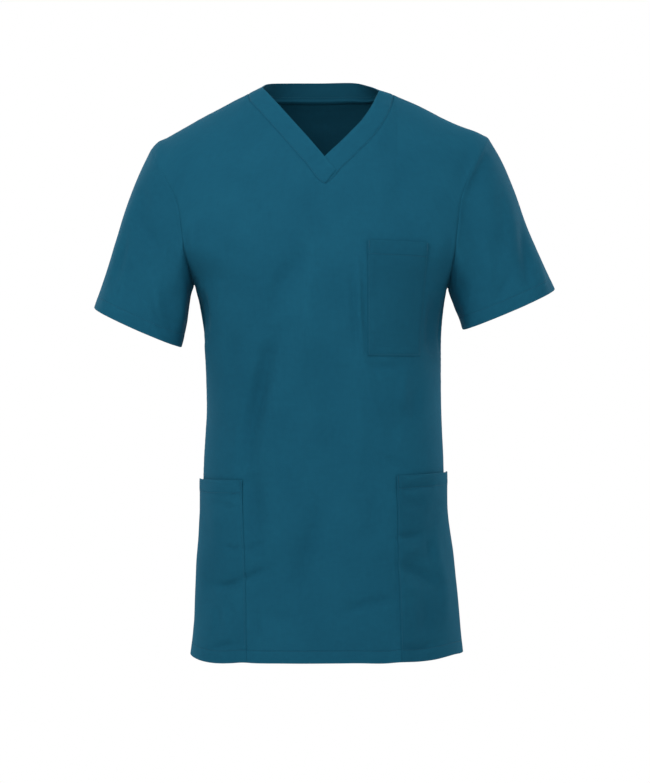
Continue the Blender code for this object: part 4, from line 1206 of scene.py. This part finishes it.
def front_band_lines(hand):
    s = np.linspace(0, 1, BAND_LONG + 1)
    if hand == "right":
        seam = front_base[top_row, neck_right:neck_tip + 1]
        edge_x = -77.0 + (17.6 + 77.0) * s
        edge_z = NECK_EDGE_RIGHT.at("height", edge_x)
        # The end on top is pressed flat over the seam where it is stitched down.
        lift = 0.60 * ease((s - 0.50) / 0.24) - 0.34 * ease((s - 0.955) / 0.045)
    else:
        seam = front_base[top_row, neck_tip:neck_left + 1][::-1]
        edge_x = 74.4 + (3.1 - 74.4) * s
        edge_z = NECK_EDGE_LEFT.at("height", edge_x)
        lift = -0.30 * ease((s - 0.5) / 0.3)
    edge = over(edge_x, turn_of("front", edge_x, edge_z))
    seam = along_line(seam, BAND_LONG + 1)
    if hand == "right":
        reach = unit(edge[-1] - edge[-2]) * 0.55
        seam[-1], edge[-1] = seam[-1] + reach, edge[-1] + reach
    return seam, edge, lift


# The neckband's wrong side is darkened to 0.66, painted shade for the band's inside.
mat_band_wrong_side_shade = cloth("cloth_neckband_wrong_side", 0.66, seed=8.8)
mat_band = cloth("cloth_neckband", 1.02, lines=(line("v", 1.7, 0.7, 0.12),), worn=(("v", 0.024, 0.002),), seed=5.3)
# Its second, broader line by the seam is a painted shadow of the seam's groove.
mat_band_right = cloth("cloth_neckband_right", 1.02, lines=(line("v", 1.7, 0.7, 0.12), line("v", 0.2, 1.3, 0.34)), worn=(("v", 0.024, 0.002),),
                       seed=5.9)
seam, edge, lift = front_band_lines("right")
band_r = band_piece("neckband_cloth_right", "neckband_front_right", seam, edge, lift, 0.62, mat_band_right, 41, ("first_column",))
crossing = edge[-30], edge[-1]
seam, edge, lift = front_band_lines("left")
band_l = band_piece("neckband_cloth_left", "neckband_front_left", seam, edge, lift, 0.95, mat_band, 44, ("first_column",), crossing)
seam = along_line(back_base[back_top, back_right:back_left + 1], BAND_LONG + 1)
turn = np.linspace(0, 1, BAND_LONG + 1)
edge = along_line(np.stack([NECK_EDGE_BACK.at(c, turn) for c in "xyz"], -1), BAND_LONG + 1)
band_b = band_piece("neckband_cloth_back", "neckband_back", seam, edge, np.zeros(BAND_LONG + 1), 1.25, mat_band, 47,
                    ("first_column", "last_column"))

# ---------------------------------------------------------------------------------------------
# Pockets


def pocket_piece(name, node, rows, cols, per_row, per_col, hem, sewn, corner, tone, seed, foot=True):
    """A patch pocket on the creased front. sewn names its stitched sides, besides its foot."""
    last_r, last_c = rows[1] - rows[0], cols[1] - cols[0]
    sample = front_soft[rows[0]:rows[1] + 1, cols[0]:cols[1] + 1]
    _, v0 = lengths(sample)
    height = float(v0[-1].mean())
    r_mm = np.arange(0, height, per_row)
    extra = [0.3, 0.8, 1.2, 1.6, 2.0, 2.4, 2.8, 3.4, height - 0.3, height - 0.8]
    extra += [height - hem + d for d in (-1.6, -1.1, -0.7, -0.35, 0, 0.35, 0.7, 1.1, 1.6)]
    extra += [BODY_HEM + d for d in (-1.4, -0.9, -0.5, 0, 0.5, 0.9, 1.4)] if not foot else []
    r_mm = np.unique(np.round(np.concatenate([r_mm, extra, [height]]), 3))
    r_f = np.interp(r_mm, v0.mean(1), np.arange(last_r + 1))
    u0, _ = lengths(sample)
    width = float(u0[:, -1].mean())
    c_mm = np.arange(0, width, per_col)
    extra = [0.3, 0.8, 1.2, 1.6, 2.0, 2.4, 2.8, 3.4, width - 0.3, width - 0.8, width - 1.2, width - 1.6, width - 2.0,
             width - 2.4, width - 2.8, width - 3.4]
    c_mm = np.unique(np.round(np.concatenate([c_mm, extra, [width]]), 3))
    c_f = np.interp(c_mm, u0.mean(0), np.arange(last_c + 1))
    part = resample(front_soft, rows[0] + r_f, cols[0] + c_f)
    n = unit(resample(front_n, rows[0] + r_f, cols[0] + c_f))
    u, v = lengths(part)
    down = v[-1:] - v
    across = u / u[:, -1:]
    r, c = v / v[-1:], across
    lift = 0.78 + MOUTH_SLACK * ease((r - 0.55) / 0.45) * np.sin(math.pi * (0.12 + 0.76 * c))
    if corner is not None:
        lift = lift + CORNER_SLACK * ease((r - 0.6) / 0.4) * ease(1 - np.abs(c - corner) / 0.45)
    sides = {"first": u, "last": u[:, -1:] - u}
    d = np.full(u.shape, 1e3)
    for s in sewn:
        d = np.minimum(d, sides[s])
    if foot:
        d = np.minimum(d, v)
    # Turned-in margins are thicker, with the stitching near the edge.
    margin = 1 - ease((d - 8.0) / 2.2)
    lift = lift + 0.32 * margin
    lift = lift - 0.45 * np.exp(-(d / 0.8) ** 2)
    lift = lift + stitch_groove(np.abs(d - 2.0), seed, v + u, depth=0.26, width=0.8, gather=0.16, reach=6.0)
    turned = 1 - ease((down - hem) / 1.6)
    lift = lift + 0.30 * turned + stitch_groove(np.abs(down - hem), seed + 1, u, depth=0.26, gather=0.12)
    lift = lift + 0.16 * soft_noise(u / 16.0, v / 18.0, seed + 2) * ease(d / 10.0)
    if not foot:
        lift = lift + stitch_groove(np.abs(v - BODY_HEM), seed + 3, u, depth=0.26, gather=0.14)
    grid = part + n * lift[..., None]
    uv = np.stack([u, v], -1) * MM
    lines = [("v", (height - hem) * MM, 0.0009, 0.20)]
    if not foot:
        lines.append(line("v", BODY_HEM))
    material = cloth("cloth_" + name, tone, lines=lines, worn=(("v", height * MM, 0.0016),), seed=seed * 0.41)
    thick = 0.60 + 0.35 * np.maximum(margin, turned)
    thick = np.minimum(thick, lift - 0.12)
    # The pocket takes the painted crease shade of the front beneath it.
    fold = resample(front_crease_shade, rows[0] + r_f, cols[0] + c_f)
    obj = shell(name, grid, n, thick, uv, material, 1, node=node, fold=fold)
    return obj, grid, n, u, v, d, height, width


chest_cols = (neck_tip + COLUMN_CELLS[2] * FINE, neck_tip + (COLUMN_CELLS[2] + COLUMN_CELLS[3] + COLUMN_CELLS[4]) * FINE)
# The pockets' tones are painted shade: the chest pocket and the left lower pocket are darkened to about 0.90, the right
# lower pocket to 0.98.
chest = pocket_piece("chest_pocket_cloth", "chest_pocket", (foot_row, yoke_row), chest_cols, 1.6, 1.6, CHEST_HEM,
                     ("first", "last"), None, 0.905, 61)
low_r = pocket_piece("lower_pocket_cloth_right", "lower_pocket_right", (0, mouth_row), (0, neck_right), 2.0, 1.8,
                     LOWER_HEM, ("last",), 0.0, 0.98, 64, foot=False)
low_l = pocket_piece("lower_pocket_cloth_left", "lower_pocket_left", (0, mouth_row), (neck_left, front_base.shape[1] - 1),
                     2.0, 1.8, LOWER_HEM, ("first",), 1.0, 0.90, 67, foot=False)

# ---------------------------------------------------------------------------------------------
# Seam allowances inside: they close the seams, as in the real top


def walk(grid, normal, axis, from_end, distance, depth):
    """Points at a distance from an edge of a grid, along its rows or columns, and a depth below its surface."""
    g = grid if axis == "row" else np.swapaxes(grid, 0, 1)
    n = normal if axis == "row" else np.swapaxes(normal, 0, 1)
    if from_end:
        g, n = g[:, ::-1], n[:, ::-1]
    step = np.linalg.norm(np.diff(g, axis=1), axis=-1)
    s = np.concatenate([np.zeros((len(g), 1)), np.cumsum(step, 1)], 1)
    out, out_n = [], []
    for k in range(len(g)):
        d = min(distance, s[k, -1] * 0.45)
        out.append([np.interp(d, s[k], g[k, :, c]) for c in range(3)])
        out_n.append([np.interp(d, s[k], n[k, :, c]) for c in range(3)])
    out_n = unit(np.array(out_n))
    return np.array(out) - out_n * depth, out_n


def allowance(name, short_side, long_side, seed, wide=10.0, short=(2.2, 1.0), under=0.0, material=None):
    """A strip under a seam. short_side and long_side give the points at a distance from it, on its two sides. It
    lies close under the cloth and a little deeper where the seam sinks."""
    lines, dirs = [], []
    for d in short:
        p, n = short_side(d, 0.62 + 0.50 * math.exp(-(d / 2.4) ** 2) + under)
        lines.append(p)
        dirs.append(n)
    for share in (0.08, 0.24, 0.45, 0.65, 0.85, 1.0):
        d = share * wide
        p, n = long_side(d, 0.62 + 0.50 * math.exp(-(d / 2.4) ** 2))
        lines.append(p)
        dirs.append(n)
    grid, n = np.array(lines), unit(np.array(dirs))
    u, v = lengths(grid)
    thick = 0.60 - 0.30 * ease((v - 0.6 * v[-1:]) / (0.4 * v[-1:]))
    facing = surface_normals(grid)
    outward = 1 if np.sum(facing * n) > 0 else -1
    return shell(name, grid, n, thick, np.stack([u, v], -1) * MM, material or mat_inside, outward, roll=0.3)


mat_inside = cloth("cloth_allowance", 0.70, worn=(("v", 0.0115, 0.003),), seed=9.4)
inner = []


def rows_of(grid, normal, first, last, from_end):
    return lambda d, depth: walk(grid[first:last], normal[first:last], "row", from_end, d, depth)


def cols_of(grid, normal, first, last):
    return lambda d, depth: walk(grid[:, first:last], normal[:, first:last], "column", True, d, depth)


for hand, from_end in (("right", False), ("left", True)):
    inner.append(allowance("seam_side_" + hand,
                           rows_of(front_soft, front_n, 5, under_row - 1, from_end),
                           rows_of(back_soft, back_n, 5, under_row - 1, from_end), 71))
    c0, c1 = (1, neck_right + 1) if hand == "right" else (neck_left, front_soft.shape[1] - 1)
    b0, b1 = (1, back_right + 1) if hand == "right" else (back_left, back_soft.shape[1] - 1)
    count = c1 - c0
    take = lambda f, count=count: (lambda d, depth: tuple(along_line(a, count) for a in f(d, depth)))
    inner.append(allowance("seam_shoulder_" + hand,
                           cols_of(front_soft, front_n, c0, c1),
                           take(cols_of(back_soft, back_n, b0, b1)), 73))


def armhole_side(hand):
    """Points inside the body's panels, round the armhole in the sleeve's own order."""
    from_end = hand == "left"

    def at(d, depth):
        f, fn = walk(front_soft[under_row:], front_n[under_row:], "row", from_end, d, depth)
        b, bn = walk(back_soft[under_row:], back_n[under_row:], "row", from_end, d, depth)
        return np.concatenate([f[::-1], b[1:-1], f[-1:]]), np.concatenate([fn[::-1], bn[1:-1], fn[-1:]])

    return at


def sleeve_side(piece):
    def at(d, depth):
        _, grid, n, _, _ = piece
        p, pn = walk(grid, n, "column", False, d, depth)
        return np.concatenate([p, p[:1]]), np.concatenate([pn, pn[:1]])

    return at


inner.append(allowance("seam_armhole_right", sleeve_side(sleeve_r), armhole_side("right"), 75))
inner.append(allowance("seam_armhole_left", sleeve_side(sleeve_l), armhole_side("left"), 76))


def band_side(piece):
    def at(d, depth):
        return walk(piece[1], piece[2], "column", False, d, depth + 0.70)

    return at


def neck_side(grid, normal, first, last, flip=False):
    def at(d, depth):
        p, n = walk(grid[:, first:last + 1], normal[:, first:last + 1], "column", True, d, depth)
        if flip:
            p, n = p[::-1], n[::-1]
        return along_line(p, BAND_LONG + 1), unit(along_line(n, BAND_LONG + 1))

    return at


inner.append(allowance("seam_neck_right", band_side(band_r), neck_side(front_soft, front_n, neck_right, neck_tip), 77, wide=7.0, short=(1.4, 0.5)))
inner.append(allowance("seam_neck_left", band_side(band_l), neck_side(front_soft, front_n, neck_tip, neck_left, True), 78, wide=7.0, short=(1.4, 0.5)))
inner.append(allowance("seam_neck_back", band_side(band_b), neck_side(back_soft, back_n, back_right, back_left), 79, wide=3.2, short=(1.2, 0.4)))

# ---------------------------------------------------------------------------------------------
# Stitching


def row_line(grid, n, value, at, flip=False):
    """The line on a grid where value, which grows along its columns, reaches at."""
    pts, dirs = [], []
    for j in range(grid.shape[1]):
        v = value[:, j]
        order = slice(None) if v[-1] > v[0] else slice(None, None, -1)
        pts.append([np.interp(at, v[order], grid[order, j, c]) for c in range(3)])
        dirs.append([np.interp(at, v[order], n[order, j, c]) for c in range(3)])
    return np.array(pts), unit(np.array(dirs))


def column_line(grid, n, value, at):
    p, d = row_line(np.swapaxes(grid, 0, 1), np.swapaxes(n, 0, 1), value.T, at)
    return p, d


def between(pair, lo, hi, axis=0):
    p, n = pair
    keep = (p[:, axis] > lo) & (p[:, axis] < hi)
    return p[keep], n[keep]


fx = front_base[0, (neck_right, neck_left), 0]
v_front, v_back = front_uv[..., 1] / MM, back_uv[..., 1] / MM
hem_front = row_line(front_grid, front_grid_n, v_front, BODY_HEM)
lines_front = [between(hem_front, fx[0] + 1.0, fx[1] - 1.0)]
stitch_front = stitches("stitching_front_hem", lines_front, thread, seed=81)
hem_back = row_line(back_grid, back_grid_n, v_back, BODY_HEM)
stitch_back = stitches("stitching_back_hem", [hem_back], thread, seed=82)

for hand, piece in (("right", sleeve_r), ("left", sleeve_l)):
    _, grid, n, _, down = piece
    p, d = row_line(grid, n, down, CUFF_HEM)
    p, d = np.concatenate([p, p[:1]]), np.concatenate([d, d[:1]])
    stitches("stitching_cuff_" + hand, [(p, d)], thread, seed=83)


def bartack(points, normal, across, tall=9.0, wide=1.7, turns=22):
    """A dense zigzag that locks a pocket's corner."""
    step = np.concatenate([[0], np.cumsum(np.linalg.norm(np.diff(points, axis=0), axis=1))])
    s = np.linspace(0.6, 0.6 + tall, turns)
    p = np.stack([np.interp(s, step, points[:, k]) for k in range(3)], -1)
    n = unit(np.stack([np.interp(s, step, normal[:, k]) for k in range(3)], -1))
    side = np.where(np.arange(turns) % 2, 0.5, -0.5)[:, None] * wide
    zig = p + across[None] * side + n * 0.10
    pairs = []
    for k in range(turns - 1):
        pairs.append((np.stack([zig[k], zig[k + 1]]), np.stack([n[k], n[k + 1]])))
    return pairs


def pocket_stitches(name, piece, hem, sewn, foot, seed):
    _, grid, n, u, v, d, height, width = piece
    down = v[-1:] - v
    lines = []
    total = u[:, -1:]
    p, m = row_line(grid, n, down, hem)
    lines.append((p[2:-2], m[2:-2]))
    tacks = []
    for side in sewn:
        value = u if side == "first" else total - u
        p, m = column_line(grid, n, value, 2.0)
        low = np.searchsorted(v[:, 0], 2.0 if foot else BODY_HEM + 1.0)
        lines.append((p[low:-1], m[low:-1]))
        across = unit(grid[-1, -1] - grid[-1, 0])
        tacks += bartack(p[::-1], m[::-1], across)
    if foot:
        p, m = row_line(grid, n, v, 2.0)
        c0, c1 = np.searchsorted(u[0], 2.0), np.searchsorted(u[0], width - 2.0)
        lines.append((p[c0:c1 + 1], m[c0:c1 + 1]))
    else:
        p, m = row_line(grid, n, v, BODY_HEM)
        lines.append((p, m))
    a = stitches("stitching_" + name, lines, thread, seed=seed)
    b = stitches("bartacks_" + name, tacks, thread, pitch=1.6, length=1.5, radius=0.17, seed=seed + 1, slant=0.0)
    return [a, b]


sew_chest = pocket_stitches("chest_pocket", chest, CHEST_HEM, ("first", "last"), True, 91)
sew_low_r = pocket_stitches("lower_pocket_right", low_r, LOWER_HEM, ("last",), False, 93)
sew_low_l = pocket_stitches("lower_pocket_left", low_l, LOWER_HEM, ("first",), False, 95)

sew_band = []
for name, piece in (("right", band_r), ("left", band_l), ("back", band_b)):
    _, grid, n, uv, _ = piece
    p, m = row_line(grid, n, uv[..., 1] / MM, 1.7)
    lines = [(p, m)]
    if name == "back":
        # Inside, the same seam is caught again a little higher.
        q, k = row_line(grid - n * 1.25, -n, uv[..., 1] / MM, 6.0)
        lines.append((q, k))
    sew_band.append(stitches("stitching_neckband_" + name, lines, thread, seed=97))

# ---------------------------------------------------------------------------------------------
# Each sheet's cut, measured flat along its threads and rounded up to 2 mm; the sizes are not kept


def declare(grid, closed=False):
    ring = np.concatenate([grid, grid[:, :1]], 1) if closed else grid
    u, v = lengths(ring)
    wide, tall = u[:, -1].max() * MM, v[-1].max() * MM
    wide, tall = math.ceil(wide * 500) / 500, math.ceil(tall * 500) / 500


side_seams, arm_seams, top_seams = {}, {}, {}
for o in inner:
    if o.name.startswith("seam_side"):
        side_seams[o.name.split("_")[-1]] = o
    elif o.name.startswith("seam_armhole"):
        arm_seams[o.name.split("_")[-1]] = o
declare(front_grid)
declare(back_grid)
declare(sleeve_r[1], closed=True)
declare(sleeve_l[1], closed=True)
for piece, sewn, neighbours in ((band_r, sew_band[0], ["front_cloth"]), (band_l, sew_band[1], ["front_cloth"]),
                                (band_b, sew_band[2], ["back_cloth"])):
    declare(piece[1])
for piece, sewn in ((chest, sew_chest), (low_r, sew_low_r), (low_l, sew_low_l)):
    declare(piece[1])

# ---------------------------------------------------------------------------------------------
# Floor, light and camera


def stage_material():
    mat = bpy.data.materials.new("stage_white")
    mat.use_nodes = True
    s = mat.node_tree.nodes["Principled BSDF"]
    s.inputs["Base Color"].default_value = (0.86, 0.86, 0.86, 1)
    s.inputs["Roughness"].default_value = 0.9
    return mat


FLOOR = -1.45
bpy.ops.mesh.primitive_circle_add(vertices=96, radius=2.1, fill_type="NGON", location=(0, 0, FLOOR))
floor = bpy.context.active_object
floor.name = "floor"
floor.data.materials.append(stage_material())

world = bpy.data.worlds.new("studio")
bpy.context.scene.world = world
world.use_nodes = True
wn, wl = world.node_tree.nodes, world.node_tree.links.new
back_light = wn["Background"]
back_light.inputs["Color"].default_value = (1, 1, 1, 1)
back_light.inputs["Strength"].default_value = AMBIENT
white = wn.new("ShaderNodeBackground")
white.inputs["Color"].default_value = (1, 1, 1, 1)
white.inputs["Strength"].default_value = 1.0
path = wn.new("ShaderNodeLightPath")
blend = wn.new("ShaderNodeMixShader")
wl(path.outputs["Is Camera Ray"], blend.inputs["Fac"])
wl(back_light.outputs[0], blend.inputs[1])
wl(white.outputs[0], blend.inputs[2])
wl(blend.outputs[0], wn["World Output"].inputs["Surface"])


def area(name, location, target, size, share):
    """A square soft light. share is how much of the cloth's own brightness it gives at the target."""
    d = Vector(target) - Vector(location)
    light = bpy.data.lights.new(name, "AREA")
    light.shape = "SQUARE"
    light.size = size
    light.energy = share * math.pi**2 * d.length_squared
    obj = bpy.data.objects.new(name, light)
    bpy.context.scene.collection.objects.link(obj)
    obj.location = location
    obj.rotation_euler = d.to_track_quat("-Z", "Y").to_euler()
    return obj


for lamp in LAMPS:
    area(*lamp)

camera = bpy.data.objects.new("camera", bpy.data.cameras.new("camera"))
bpy.context.scene.collection.objects.link(camera)
camera.location = (0.0039, -2.6, -0.389)
camera.rotation_euler = (math.pi / 2, 0, 0)
camera.data.lens = 91.95
camera.data.sensor_width = 36.0
camera.data.clip_start, camera.data.clip_end = 0.1, 50
bpy.context.scene.camera = camera
bpy.context.scene.view_settings.view_transform = "Standard"
